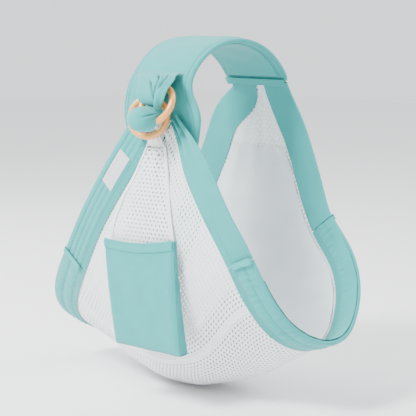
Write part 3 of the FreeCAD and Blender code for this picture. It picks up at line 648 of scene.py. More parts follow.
def band_height(s, u, width, channels, puff, seed):
    """How far a rail's ply stands from the mesh: flat at the mouth, then full between the sewn lines."""
    flat, free = width / 2 - LAP, -width / 2
    h = SLIT + 0.0 * u
    if channels:
        share = np.clip((flat - u) / (flat - free), 0, 1) * channels
        full = np.abs(np.sin(math.pi * share)) ** 0.5
        h = h + (puff - SLIT) * full
        h = h + full * puff * 0.10 * ripple(s * STATION, u, seed, 0.018, 0.05)
    return h


def band(name, rail, start, end, channels, puff=PUFF, seed=1, crush=0.0, per=6, bow=0.0):
    """One length of a rail: a folded strip of cloth with its fold at the free edge."""
    s = np.linspace(start, end, int((end - start) * per) + 1)[:, None]
    w = rail.width(s)
    top = np.linspace(1.0, 0.0, 58)[None, :] ** 0.96
    u = -w / 2 + 0.0018 + top * (w - 0.0018)
    high = band_height(s, u, w, channels, puff, seed)
    low = band_height(s, u, w, channels, puff, seed + 50)
    if crush:
        length = s * STATION
        fine = crush * ripple(length, u, seed + 7, 0.008, 0.020, (-0.35, 0.35), 9)
        cover = ease((w / 2 - 0.010 - u) / 0.008) * ease((u + w / 2) / 0.006)
        high = high + fine * cover
        low = low + crush * cover * ripple(length, u, seed + 9, 0.008, 0.02, (-0.35, 0.35), 9)
    gather = np.clip((0.058 - w) / 0.038, 0, 1) if rail is right else 0.0 * w
    pleat = gather * 0.0042 * np.sin(u / w * 2 * math.pi * 2.2 + 0.6) * ease(1.4 - np.abs(u / w) * 2)
    pleat = pleat + bow * ripple(s * STATION, u, seed + 3, 0.06, 0.16) * 0.0012
    arc = np.linspace(math.pi / 2, -math.pi / 2, 9)[None, 1:-1]
    cap_h, cap_u = high[:, -1:] * np.sin(arc), -w / 2 + 0.0018 - 0.0018 * np.cos(arc)
    uu = np.concatenate([u, cap_u, u[:, ::-1]], 1)
    bend = np.concatenate([pleat, np.repeat(pleat[:, -1:], 7, 1), pleat[:, ::-1]], 1)
    hh = np.concatenate([high, cap_h, -low[:, ::-1]], 1) + bend
    # Painted shading: painted shade along the sewn lines and the flat mouth, lighter on the padded channels, and a
    # painted highlight along the folded free edge.
    crease = np.concatenate([high, cap_h * 0 + puff, low[:, ::-1]], 1) if channels else hh * 0 + SLIT
    fold = (crease - SLIT) / max(puff - SLIT, 1e-6) * 0.35 - 0.25 if channels else crease * 0
    fold = fold + 0.22 * np.exp(-((uu + w / 2) / 0.0022) ** 2)
    ss = s + 0 * uu
    points = rail.at(ss, uu, hh)
    arc_len = np.r_[0, np.cumsum(np.linalg.norm(np.diff(points, axis=1), axis=2).mean(0))]
    flat = np.stack(np.meshgrid(arc_len, s[:, 0] * STATION), -1)
    piece = lay_grid(name, points, flat, fold)
    ply(piece, 0.0010)
    return piece, cut_size(points)


def sewn_run(rail, start, end, u, channels, puff, side=1, seed=1, lift=0.0006):
    s = np.linspace(start, end, int((end - start) * 8) + 2)
    w = rail.width(s)
    at_u = u(w) if callable(u) else u + 0 * s
    h = side * (band_height(s, at_u, w, channels, puff, seed + (0 if side > 0 else 50)) + lift)
    return rail.at(s, at_u, h), unit(rail.out.at(s)) * side


def channel_lines(channels):
    """Where a rail's sewn lines lie, from its flat mouth to the last channel."""
    lines = [lambda w: w / 2 - 0.0035, lambda w: w / 2 - LAP]
    for k in range(1, channels):
        lines.append(lambda w, k=k: (w / 2 - LAP) - (w - LAP) * k / channels)
    return lines


RF, RB, LF, LB = 14.0, 40.0, 14.0, 40.0
EDGE = 0.05
bands = [("right_front_strap", right, 0.0, RF - EDGE, 0, 11, 0.0, ["right_front_band"]),
         ("right_padded_band", right, RF + EDGE, RB - EDGE, 2, 12, 0.00085, ["right_padded_cover", "right_padding"]),
         ("right_back_strap", right, RB + EDGE, ST, 0, 13, 0.0, ["right_back_band"]),
         ("left_quilted_band", left, 0.0, LF - EDGE, 4, 21, 0.0, ["left_quilted_cover", "left_quilt_padding"]),
         ("left_padded_band", left, LF + EDGE, LB - EDGE, 2, 22, 0.00085, ["left_padded_cover", "left_padding"]),
         ("left_back_strap", left, LB + EDGE, ST, 0, 23, 0.0, ["left_back_band"])]
for name, rail, start, end, channels, seed, crush, nodes in bands:
    piece, cut = band(name, rail, start, end, channels, seed=seed, crush=crush, per=10 if crush else 6,
                      bow=0.0 if channels else 1.0)
    dress(piece, cotton, "sling", "cotton", *nodes)
    runs = []
    for u in channel_lines(max(channels, 1)) + ([] if channels else [lambda w: -w / 2 + 0.0065]):
        for side in (1, -1):
            runs.append(sewn_run(rail, start + 0.15, end - 0.15, u, channels, PUFF, side, seed))
    stitches(name + "_stitching", runs, thread, "sling", "binding")

# Inner facing of the right rail: a second ply behind the padding, left open at its free edge.
facing_s = np.linspace(RF + 2, RB - 2, 150)[:, None]
facing_u = np.linspace(-0.028, -0.002, 14)[None, :]
facing_points = right.at(facing_s, facing_u, -0.0062 - 0.0006 * ripple(facing_s * STATION, facing_u, 31, 0.03, 0.09))
facing = cloth("right_open_facing", facing_points, 0.0009, cotton_lining, "sling", "cotton_lining",
               "right_inner_facing")
cut_size(facing_points)


# Seam tabs: folded strips of cotton that cover each joint between two lengths of a rail.
def tab(name, rail, station, node):
    w, wide = float(rail.width(station)), 0.0125
    per_station = rail.length / ST

    def place(u, v, h):
        across = -w / 2 + 0.0002 + (w - 0.0145) * u
        s = station + (v - 0.5) * wide / per_station * (1 + 0.05 * np.sin(u * 9))
        return rail.at(s, across, 0.0066 + h + 0.0004 * np.sin(u * 7 + 1) - 0.0014 * ease(1 - u / 0.06))

    u = np.r_[0, 0.006, 0.016, 0.03, 0.05, np.linspace(0.08, 0.92, 26), 0.95, 0.97, 0.984, 0.994, 1]
    v = np.array([0, 0.03, 0.09, 0.18, 0.27, 0.38, 0.5, 0.62, 0.73, 0.82, 0.91, 0.97, 1])
    # The last argument paints shading on the tab: painted shadow along both long edges and a painted highlight over
    # its middle.
    piece = pillow(name, place, u, v, lambda a, b: soft_edge(a, b, w, wide, 0.0018, 0.0016),
                   lambda a, b: 0.5 - 1.3 * np.exp(-(np.minimum(b, 1 - b) / 0.10) ** 2))
    dress(piece, cotton, "sling", "cotton", node)
    rows = []
    for v0 in (0.2, 0.8):
        t = np.linspace(0.04, 0.96, 30)
        rows.append((place(t, v0 + 0 * t, 0.0012), unit(rail.out.at(station + 0 * t))))
    stitches(name + "_stitching", rows, thread, "sling", "binding")


tab("right_front_fold", right, RF, "right_front_tab")
tab("right_back_fold", right, RB, "right_back_tab")
tab("left_front_fold", left, LF, "left_front_tab")
tab("left_back_fold", left, LB, "left_back_tab")


# Turned hem at the top of the quilted band, which is sewn twice; the stitching is not built here.
def top_place(u, v, h):
    across = -0.033 + 0.055 * u
    p = left.at(0.0 * u, across, h)
    back = unit(left.line.at(0.0 * u.ravel()) - left.line.at(0.4 + 0.0 * u.ravel())).reshape(p.shape)
    return p + back * (-0.0004 + 0.0064 * v)[..., None]


top_u = np.r_[0, 0.01, 0.03, 0.06, np.linspace(0.1, 0.9, 24), 0.94, 0.97, 0.99, 1]
top_v = np.array([0, 0.04, 0.12, 0.25, 0.4, 0.55, 0.7, 0.85, 0.94, 1])
top_hem = pillow("left_turned_hem", top_place, top_u, top_v,
                 lambda u, v: soft_edge(u, v, 0.055, 0.0064, 0.0034, 0.0026))
dress(top_hem, cotton, "sling", "cotton", "left_top_hem")

# Woven label: a blank satin-weave patch sewn flat on the quilted band, with a plain border.
label_finish, start, link = new_finish("woven_label", Sheen_Weight=0.15, Specular_IOR_Level=0.35)
cut, axes, down = thread_axes(start)
ribs = ((axes * (ONE_WAVE / 0.0007)).sine() * (down * (ONE_WAVE / 0.0011)).sine()) * 0.5 + 0.5
pool = start.make("TexNoise", {}, {"Vector": cut, "Scale": 320.0, "Detail": 2.0})
edge_u = ((axes - 0.015).size() - 0.0125) * 900.0
edge_v = ((down - 0.039).size() - 0.0365) * 900.0
border = start.sum("MAXIMUM", edge_u, edge_v).clear()
field = ((pool - 0.5) * 0.5 + ribs * 0.3 + 0.35).clear().blend(rgb(0.50, 0.50, 0.56), rgb(0.70, 0.70, 0.75))
link(Base_Color=border.make("Mix", {"data_type": "RGBA"}, {0: border, 6: field, 7: rgb(0.60, 0.60, 0.64)}, 2),
     Roughness=(ribs * 0.15 + 0.5).clear(),
     Normal=bump(start, ribs, 0.0002, 0.7))
per = left.length / ST
label_s = 2.0 + np.linspace(0, 0.078, 60)[:, None] / per
label_u = -0.018 + np.linspace(0, 0.030, 30)[None, :]
over = band_height(label_s, label_u, 0.066, 4, PUFF, 21)
label_points = left.at(label_s, label_u, over * 0.35 + PUFF * 0.65 + 0.0013)
label_flat = np.stack(np.meshgrid(np.linspace(0, 0.030, 30), np.linspace(0, 0.078, 60)), -1)
label = cloth("woven_label", label_points, 0.0007, label_finish, "sling", "label_weave", "label", flat=label_flat)

# Pouch.
# One long hammock of perforated knit runs from the rings, under the wearer, up to the
# pad: a front, a seat and a back panel, sewn edge to edge and into the two rails.
COLS = 121
SEWN_UNDER, PAST_MOUTH = 0.011, 0.003  # how far the net runs in under a rail, and out past its mouth
FRONT_SEAM, BACK_SEAM = 18.0, 34.0


def cross_row(i):
    wr, wl = float(right.width(i)) / 2, float(left.width(i)) / 2
    a0, a1 = right.at(float(i), wr - SEWN_UNDER, 0.0), right.at(float(i), wr + PAST_MOUTH, 0.0)
    b0, b1 = left.at(float(i), wl - SEWN_UNDER, 0.0), left.at(float(i), wl + PAST_MOUTH, 0.0)
    m = middle[i]
    inner = [m + (a1 - b1) * (t / 2) + ((a1 + b1) * 0.5 - m) * (t * t) for t in (0.5, 0.0, -0.5)]
    return Line([a0, a1, *inner, b1, b0]).even(COLS - 1)


rows = np.array([cross_row(i) for i in range(STEPS + 1)])
FINE = 433
fine_s = np.linspace(0, ST, FINE)
net = Line(rows.reshape(STEPS + 1, -1), stations).at(fine_s).reshape(FINE, COLS, 3)
net_length = np.linalg.norm(np.diff(net, axis=1), axis=2).sum(1)
middle_length = float(np.linalg.norm(np.diff(middle, axis=0), axis=1).sum())
net_out = unit(np.cross(np.gradient(net, axis=1), np.gradient(net, axis=0)))
outward = unit(right.out.at(fine_s) + left.out.at(fine_s))[:, None]
net_out = np.where((net_out * outward).sum(-1, keepdims=True) < 0, -net_out, net_out)

net_v = np.linspace(0, 1, COLS)[None, :]
net_e = np.minimum(net_v, 1 - net_v) * net_length[:, None]
net_x, net_y = (net_v - 0.5) * net_length[:, None], fine_s[:, None] / ST * middle_length
loose = ease((net_e - 0.016) / 0.03)
near_rings = np.exp(-(fine_s[:, None] / 7.0) ** 1.5)
near_pad = np.exp(-((ST - fine_s[:, None]) / 7.0) ** 1.5)
waves = (near_rings * 0.0050 * np.sin(net_v * 2 * math.pi * 5.5 + 0.4 * np.sin(net_y * 20))
         + near_pad * 0.0035 * np.sin(net_v * 2 * math.pi * 4.5 + 1.0)
         + 0.0040 * ripple(net_x, net_y, 41, 0.10, 0.30)
         + 0.0016 * ripple(net_x, net_y, 42, 0.04, 0.09))
net = net + net_out * (waves * loose)[..., None]


def on_net(x, y, lift=0.0):
    """Points of the pouch for a place on its cut: across from the middle and along from the rings."""
    s = np.clip(y / middle_length, 0, 1) * (FINE - 1)
    i = np.clip(s.astype(int), 0, FINE - 2)
    f = (s - i)[..., None]
    length = net_length[i] * (1 - f[..., 0]) + net_length[i + 1] * f[..., 0]
    v = np.clip(x / length + 0.5, 0, 1) * (COLS - 1)
    j = np.clip(v.astype(int), 0, COLS - 2)
    g = (v - j)[..., None]
    surf = net if np.isscalar(lift) and lift == 0.0 else net + net_out * lift
    above = surf[i, j] * (1 - g) + surf[i, j + 1] * g
    below = surf[i + 1, j] * (1 - g) + surf[i + 1, j + 1] * g
    return above * (1 - f) + below * f


def net_half(y):
    return np.interp(y / middle_length, np.linspace(0, 1, FINE), net_length) / 2


def perforated(name, place, keep, x_span, y_span, pitch, hole, thick):
    """Knit with a hexagonal pattern of open holes, kept where keep(x, y) says, and laid on place(x, y)."""
    rise = pitch * math.sqrt(3) / 2
    i, j = np.meshgrid(np.arange(int(x_span[0] / pitch) - 2, int(x_span[1] / pitch) + 3),
                       np.arange(int(y_span[0] / rise) - 1, int(y_span[1] / rise) + 2))
    cx, cy = (i + 0.5 * (j % 2)).ravel() * pitch, j.ravel() * rise
    use = keep(cx, cy)
    cx, cy = cx[use], cy[use]
    turn = math.pi / 6 + np.arange(6) * math.pi / 3
    outer = np.stack([cx[:, None] + np.cos(turn) * pitch / math.sqrt(3),
                      cy[:, None] + np.sin(turn) * pitch / math.sqrt(3)], -1)
    inner = np.stack([cx[:, None] + np.cos(turn) * hole / 2, cy[:, None] + np.sin(turn) * hole / 2], -1)
    _, first, back = np.unique(np.round(outer.reshape(-1, 2) / 1e-5).astype(np.int64), axis=0, return_index=True,
                               return_inverse=True)
    corners = outer.reshape(-1, 2)[first]
    o = back.reshape(-1, 6)
    q = len(corners) + np.arange(len(cx) * 6).reshape(-1, 6)
    faces = np.stack([o, np.roll(o, -1, 1), np.roll(q, -1, 1), q], -1).reshape(-1, 4)
    cut = np.concatenate([corners, inner.reshape(-1, 2)])
    piece = from_faces(name, place(cut[:, 0], cut[:, 1]), faces.tolist())
    piece.data.uv_layers[0].data.foreach_set("uv", cut[faces.ravel()].astype(np.float32).ravel())
    ply(piece, thick)
    return piece, len(cx) * pitch * rise


knit, start, link = new_finish("white_mesh_knit", Sheen_Weight=0.3, Sheen_Roughness=0.4, Specular_IOR_Level=0.3)
cut, axes, down = thread_axes(start)
wale = (axes * (ONE_WAVE / 0.0009) + (down * (ONE_WAVE / 0.0012)).sine() * 0.8).sine() * 0.5 + 0.5
pool = start.make("TexNoise", {}, {"Vector": start.make("TexCoord", {}, {}, "Object"), "Scale": 16.0, "Detail": 3.0})
tone = ((pool - 0.5) * 0.7 + wale * 0.25 + 0.35).clear()
link(Base_Color=tone.blend(rgb(0.80, 0.83, 0.86), rgb(0.93, 0.94, 0.95)),
     Roughness=(wale * 0.12 + 0.66).clear(),
     Normal=bump(start, wale, 0.0002, 0.7))

PITCH, HOLE = 0.0090, 0.0046
panels = [("pouch_front_panel", 0.0, FRONT_SEAM, "pouch_mesh_front"),
          ("pouch_seat_panel", FRONT_SEAM, BACK_SEAM, "pouch_mesh_seat"),
          ("pouch_back_panel", BACK_SEAM, ST, "pouch_mesh_back")]
for name, start_s, end_s, node in panels:
    y0, y1 = start_s / ST * middle_length, end_s / ST * middle_length

    def keep(x, y, y0=y0, y1=y1):
        inside = np.abs(x) + PITCH * 0.5 < net_half(y) - 0.0005 - 0.0045 * np.exp(-(y / 0.07) ** 2)
        return inside & (y >= y0 + (0.004 if y0 == 0 else 0)) & (y < y1 - (0.004 if y1 > middle_length - 0.01 else 0))

    piece, area = perforated(name, on_net, keep, (-0.33, 0.33), (y0, y1), PITCH, HOLE, 0.0010)
    dress(piece, knit, "sling", "mesh", node)
    wide = 2 * float(net_half(np.linspace(y0, y1, 40)).max())

# Seam tapes where the panels of knit meet, each a narrow white strip sewn down twice.
for name, s0 in (("pouch_front_seam", FRONT_SEAM), ("pouch_back_seam", BACK_SEAM)):
    y0 = s0 / ST * middle_length
    x = np.linspace(-1, 1, 140)[None, :] * (float(net_half(y0)) - 0.004)
    y = y0 + np.linspace(-0.0051, 0.0051, 7)[:, None]
    x, y = np.broadcast_arrays(x, y)
    for face, side in (("", 1), ("_inside", -1)):
        tape_points = on_net(x, y, side * 0.0009)
        tape = cloth(name + face, tape_points, 0.0007, knit, "sling", "mesh")
        cut_size(tape_points)
    runs = []
    for off in (-0.0033, 0.0033):
        line = on_net(x[0], x[0] * 0 + y0 + off, 0.0013)
        runs.append((line, unit(line - on_net(x[0], x[0] * 0 + y0 + off, -0.0018))))
    stitches(name + "_stitching", runs, knit, "sling", "mesh")

# Pouch lining: a finer, softer knit hung inside the seat, stopping short of the rails.
y = np.linspace(16.0, 48.0, 190)[:, None] / ST * middle_length
x = np.linspace(-1, 1, 90)[None, :] * (net_half(y) - 0.016)
y = y + 0 * x
hung = -0.0042 - 0.0007 * ripple(x, y, 45, 0.05, 0.12)[..., None]
inner_points = on_net(x, y) + (on_net(x, y, 0.001) - on_net(x, y)) * 1000 * hung
soft_knit, start, link = new_finish("fine_lining_knit", Sheen_Weight=0.35, Sheen_Roughness=0.5,
                                    Specular_IOR_Level=0.2)
cut, axes, down = thread_axes(start)
pores = ((axes * (ONE_WAVE / 0.0026)).sine() * (down * (ONE_WAVE / 0.0026)).sine()).size()
pool = start.make("TexNoise", {}, {"Vector": start.make("TexCoord", {}, {}, "Object"), "Scale": 12.0, "Detail": 3.0})
tone = ((pool - 0.5) * 0.6 + pores * 0.35 + 0.3).clear()
link(Base_Color=tone.blend(rgb(0.74, 0.78, 0.82), rgb(0.90, 0.92, 0.94)), Roughness=(pores * 0.1 + 0.72).clear(),
     Normal=bump(start, pores, 0.0004, 0.7))
inner = cloth("pouch_soft_lining", inner_points, 0.0008, soft_knit, "sling", "lining_mesh", "pouch_lining")
inner_cut = cut_size(inner_points)

# Rings.
# Two turned rings lock the cloth at the shoulder. Each is round in section, smooth, and
# finished in a clear gloss over a fine streaky grain.
wood, start, link = new_finish("glossy_ring", Coat_Weight=0.75, Coat_Roughness=0.12, Specular_IOR_Level=0.5)
place = start.make("TexCoord", {}, {}, "Object")
grain = start.make("TexNoise", {}, {"Vector": start.make("Mapping", {}, {"Vector": place, "Scale": (60, 420, 420)}),
                                    "Scale": 1.0, "Detail": 4.0, "Distortion": 0.6})
broad = start.make("TexNoise", {}, {"Vector": place, "Scale": 35.0, "Detail": 2.0})
tone = ((grain - 0.5) * 0.9 + (broad - 0.5) * 0.5 + 0.5).clear()
link(Base_Color=tone.blend(rgb(0.60, 0.215, 0.035), rgb(0.86, 0.40, 0.085)), Roughness=(grain * 0.18 + 0.24).clear(),
     Normal=bump(start, grain, 0.0001, 0.35))


RING_R, RING_TUBE = 0.034, 0.006


def ring(name, node, facing, body):
    """A ring spun from its round section, a little flattened on its inner side."""
    low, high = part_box(node)
    centre, facing = (low + high) / 2, Vector(facing).normalized()
    spin_side = facing.orthogonal().normalized()
    bpy.ops.object.select_all(action="DESELECT")
    bpy.ops.mesh.primitive_circle_add(vertices=28, radius=RING_TUBE)
    piece = named(name)
    for v in piece.data.vertices:
        a, b = v.co.x, v.co.y
        a = a * (0.95 if a < 0 else 1.0)
        v.co = centre + spin_side * (RING_R + a) + facing * b
    bpy.ops.object.mode_set(mode="EDIT")
    bpy.ops.mesh.select_all(action="SELECT")
    bpy.ops.mesh.spin(steps=120, angle=2 * math.pi, center=centre, axis=facing)
    bpy.ops.object.mode_set(mode="OBJECT")
    close_up(piece)
    return dress(piece, wood, body, "ring_plastic", node)


FRONT_N, REAR_N = (0.02, -0.88, 0.48), (0.40, -0.87, 0.26)
ring("front_grip_ring", "front_ring", FRONT_N, "front_ring_set")
ring("rear_grip_ring", "rear_ring", REAR_N, "rear_ring_set")

# Pleated panel.
# The cotton that leaves the seam on the pad is laid in deep pleats, drawn down into the
# front ring and brought back up behind it to the same seam.


def swept(name, rows, count, around, folds):
    """A flattened, folded length of cloth that follows rows of centre, half width and half thickness."""
    c = Line([r[0] for r in rows])
    marks = c.marks
    across = Line([unit(np.array(r[1], float)) for r in rows], marks)
    through = Line([unit(np.array(r[2], float)) for r in rows], marks)
    sizes = Line([(r[3], r[4]) for r in rows], marks)
    t = np.linspace(marks[0], marks[-1], count)
    a = np.linspace(0, 2 * math.pi, around + 1)
    x = np.sign(np.cos(a)) * np.abs(np.cos(a)) ** 0.72
    y = np.sign(np.sin(a)) * np.abs(np.sin(a)) ** 0.62
    w, h = sizes.at(t)[:, :1], sizes.at(t)[:, 1:]
    share = (t / marks[-1])[:, None]
    lift, fold = folds(x[None, :] + 0 * w, share + 0 * x[None, :])
    side = unit(across.at(t))[:, None]
    out = unit(through.at(t))[:, None]
    points = c.at(t)[:, None] + side * (w * x)[..., None] + out * (h * y + lift)[..., None]
    piece = lay_grid(name, points, None, fold)
    close_up(piece, cap=True)
    return piece


def pleats(centres, depth, sharp=0.10):
    """Folds with deep narrow slits at the given places across, which close in as they go down."""

    def folds(x, t):
        lift = 0.0 * x
        painted_shading = 0.0 * x
        for at, lean, start, end, deep in centres:
            where = at + lean * t
            slit = np.exp(-((x - where) / sharp) ** 2) * ease((t - start) / 0.12) * ease((end - t) / 0.12)
            crown = np.exp(-((x - where - 2.2 * sharp) / (2.0 * sharp)) ** 2)
            lift = lift - depth * deep * slit + depth * 0.55 * deep * crown * ease((t - start) / 0.2)
            # Painted shade deep in each slit and a painted highlight on the crown beside it.
            painted_shading = painted_shading - 1.3 * slit + 0.2 * crown * ease((t - start) / 0.2)
        return lift, painted_shading

    return folds


panel_rows = [
    ((0.010, -0.1305, -0.0465), (1, 0, 0), (0, -0.5, 0.86), 0.052, 0.0012),
    ((0.018, -0.148, -0.0515), (1, -0.02, 0), (0, -0.3, 0.95), 0.050, 0.0020),
    ((0.036, -0.168, -0.058), (1, -0.04, -0.02), (0, -0.5, 0.86), 0.047, 0.0026),
    ((0.045, -0.184, -0.070), (1, -0.02, -0.04), (0, -0.85, 0.5), 0.039, 0.0030),
    ((0.050, -0.194, -0.084), (1, 0.02, -0.05), (0, -1, 0), 0.034, 0.0036),
    ((0.050, -0.1925, -0.0965), (1, 0.1, -0.05), (0, -0.75, -0.66), 0.0255, 0.0036),
    ((0.046, -0.180, -0.102), (1, 0.2, -0.1), (0.05, -0.35, -0.93), 0.014, 0.0032),
]
panel_pleats = pleats([(-1.16, 1.87, 0.44, 1.2, 0.8), (0.0, 0.55, 0.14, 1.2, 1.3), (0.66, -0.12, 0.12, 0.68, 1.0)],
                      0.0062, 0.055)


def panel_folds(x, t):
    lift, painted_shading = panel_pleats(x, t)
    # Two sewn lines under the top edge: shallow grooves with painted shade along them.
    seam = np.exp(-((t - 0.03) / 0.008) ** 2) * 0.6 + np.exp(-((t - 0.085) / 0.010) ** 2)
    return lift - 0.0006 * seam, painted_shading - 0.55 * seam


panel = swept("ring_pleated_cloth", panel_rows, 150, 220, panel_folds)
dress(panel, cotton, "sling", "cotton", "ring_pleat_panel", smooth=80)
loop_rows = [
    ((0.0454, -0.1793, -0.1023), (1, 0.2, -0.1), (0.05, -0.35, -0.93), 0.014, 0.0032),
    ((0.030, -0.166, -0.1075), (1, 0.2, -0.05), (0, -0.2, -0.98), 0.0125, 0.0028),
    ((0.018, -0.1535, -0.1055), (1, 0.1, 0), (0, 0.7, -0.7), 0.010, 0.0020),
    ((0.015, -0.1465, -0.093), (1, 0, 0), (0, 1, -0.1), 0.018, 0.0016),
    ((0.014, -0.1435, -0.070), (1, 0, 0), (0, 0.98, -0.2), 0.034, 0.0013),
    ((0.010, -0.1345, -0.056), (1, 0, 0), (0, 0.7, -0.7), 0.046, 0.0009),
]
loop_pleats = pleats([(-0.4, 0.2, 0.0, 1.2, 0.5), (0.3, -0.1, 0.0, 1.2, 0.5)], 0.0012)
back_loop = swept("ring_return_cloth", loop_rows, 70, 120, loop_pleats)
dress(back_loop, cotton, "sling", "cotton", "ring_loop_back", smooth=80)

# Knot of cloth.
# The free end is folded over the front ring and tucked under itself, which leaves a full,
# creased knot of cotton standing in front of the rings.
fold_low, fold_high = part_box("tail_fold")
front_low, front_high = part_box("front_ring")
knot_c = np.array([*(fold_low + fold_high) / 2])
knot_r = np.array([*(fold_high - fold_low) / 2])
bpy.ops.object.select_all(action="DESELECT")
bpy.ops.mesh.primitive_ico_sphere_add(subdivisions=6, radius=1.0)
knot = named("ring_knot")
ball = np.zeros(len(knot.data.vertices) * 3, np.float32)
knot.data.vertices.foreach_get("co", ball)
ball = unit(ball.reshape(-1, 3).astype(float))
right_way, up_way = np.array([0.719, 0.695, 0.0]), np.array([-0.097, 0.100, 0.990])
full = np.sign(ball) * np.abs(ball) ** 0.84 * (knot_r + np.array([0.0, 0.0, 0.0022]))
seen_x, seen_y = full @ right_way / 0.030, full @ up_way / 0.024
turn = np.arctan2(seen_y - 0.45, seen_x - 0.98)
in_front = ease(-(ball[:, 1] - 0.35 * ball[:, 0]) / 0.5)
dents, painted_shading = np.zeros(len(ball)), np.zeros(len(ball))
for at, sharp, deep, reach_out in ((-2.74, 0.16, 1.0, 1.15), (2.80, 0.10, 0.45, 1.3), (-2.25, 0.14, 0.35, 1.0)):
    d = np.angle(np.exp(1j * (turn - at)))
    fade = np.exp(-(np.hypot(seen_y - 0.45, seen_x - 0.98) / reach_out) ** 4) * in_front
    groove = np.where(d > 0, np.exp(-(d / 0.03) ** 2), np.exp(-(d / sharp) ** 2)) * fade
    dents = dents - 0.115 * deep * groove + 0.035 * deep * np.exp(-((d - 0.16) / 0.10) ** 2) * fade
    # Painted shade in the knot's creases.
    painted_shading = painted_shading - 0.7 * deep * groove
worn = 0.022 * ripple(ball[:, 0], ball[:, 2], 61, 0.9, 1.8)
shape = knot_c + np.array([-0.001, 0.0, 0.0028]) + full * (0.97 + dents + worn)[:, None]
against, depth_in = np.array([0.677, 0.5615, -0.475]), 0.0030
over = np.maximum(shape @ against + depth_in, 0.0)
shape = shape - over[:, None] * against
ring_c = np.array([*(front_low + front_high) / 2])
axis = unit(np.array(FRONT_N, float))
CLEAR = 0.0064  # how near the cloth comes to the middle of the ring's section
for _ in range(2):
    rel = shape - ring_c
    level = (rel @ axis)[:, None] * axis
    round_line = ring_c + unit(rel - level) * RING_R
    gap = shape - round_line
    far = np.linalg.norm(gap, axis=1, keepdims=True)
    shape = np.where(far < CLEAR, round_line + gap / np.maximum(far, 1e-9) * CLEAR, shape)
knot.data.vertices.foreach_set("co", shape.astype(np.float32).ravel())
polar = np.stack([np.arctan2(ball[:, 1], ball[:, 0]) * 0.028, ball[:, 2] * 0.03], -1)
mark_cloth(knot.data, polar, painted_shading)
close_up(knot)
dress(knot, cotton, "front_ring_set", "cotton", "tail_fold", smooth=80)

# Gathered knit behind the rings.
# The top of the pouch is drawn together in small folds, taken up behind both rings and
# through them to the knot.
start_row = rows[0][8:-8:4] + np.array([0, 0, 0.0008])
count = len(start_row)


def line_row(a, b):
    t = np.linspace(0, 1, count)[:, None]
    return np.array(a) * (1 - t) + np.array(b) * t


knot_back = float(fold_high.y) + 0.0015
line_a = line_row((0.040, FACE - 0.0116, -0.128), (0.015, FACE - 0.0116, -0.142))
gather_rows = np.array([start_row, start_row * 0.5 + line_a * 0.5, line_a,
                        line_row((0.0405, FACE - 0.021, -0.120), (0.021, FACE - 0.021, -0.124)),
                        line_row((0.042, knot_back, -0.117), (0.025, knot_back, -0.119))])
sweep_rows = Line(gather_rows.reshape(5, -1), np.array([0.0, 0.25, 0.5, 0.75, 1.0])).at(np.linspace(0, 1, 60))
gathered = sweep_rows.reshape(60, count, 3)
gathered = np.array([Line(r).even(150) for r in gathered])
g_out = unit(np.cross(np.gradient(gathered, axis=1), np.gradient(gathered, axis=0)))
g_x, g_t = np.linspace(0, 1, 151)[None, :], np.linspace(0, 1, 60)[:, None]
g_fold = 0.0016 * np.sin(g_x * 2 * math.pi * 7 + 0.7 * np.sin(g_t * 5)) * ease(g_t / 0.15)
gathered = gathered + g_out * g_fold[..., None]
gather = cloth("ring_gathered_knit", gathered, 0.0011, knit, "sling", "mesh", "pouch_gather", smooth=80)
cut_size(gathered)

# Tail.
# The end of the cloth comes out of the knot behind the rear ring, spreads into a panel of
# the same perforated knit with bound edges, and hangs free in front of the pouch.
rear_low, rear_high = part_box("rear_ring")
rear_c, rear_n = np.array([*(rear_low + rear_high) / 2]), unit(np.array(REAR_N, float))
rear_a = unit(np.cross((0.0, 0.0, 1.0), rear_n))
rear_b = np.cross(rear_n, rear_a)
PHI = math.radians(285)
arc = rear_c + rear_a * (RING_R * math.cos(PHI)) + rear_b * (RING_R * math.sin(PHI))
inward = unit(rear_c - arc)
along = -np.cross(rear_n, inward)
along = -along if along[0] < 0 else along
TOP_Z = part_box("tail_mesh")[1].z
neck_rows = [
    (arc + inward * 0.0106 + rear_n * 0.009, along, inward, 0.011, 0.0016),
    (arc + inward * 0.010 + rear_n * 0.001, along, inward, 0.011, 0.0016),
    (arc + inward * 0.0062 - rear_n * 0.0078, along, inward - rear_n, 0.011, 0.0016),
    (arc - inward * 0.0015 - rear_n * 0.0105, along, -rear_n, 0.012, 0.0016),
    (np.array([0.029, -0.1626, TOP_Z + 0.006]), (1, 0.2, 0), (0, 1, 0), 0.017, 0.0014),
    (np.array([0.0305, -0.1626, TOP_Z - 0.0005]), (1, 0.1, 0), (0, 1, 0), 0.023, 0.0012),
]


# Small gathers, with painted shade on their sloping sides.
def neck_folds(x, t):
    return 0.0014 * np.sin(x * math.pi * 3.2 + 0.5) * ease(t / 0.3), -0.3 * np.cos(x * math.pi * 3.2 + 0.5) ** 2


neck = swept("tail_gathered_neck", neck_rows, 70, 120, neck_folds)
dress(neck, knit, None, "mesh", "tail_neck", smooth=80)
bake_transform(neck)

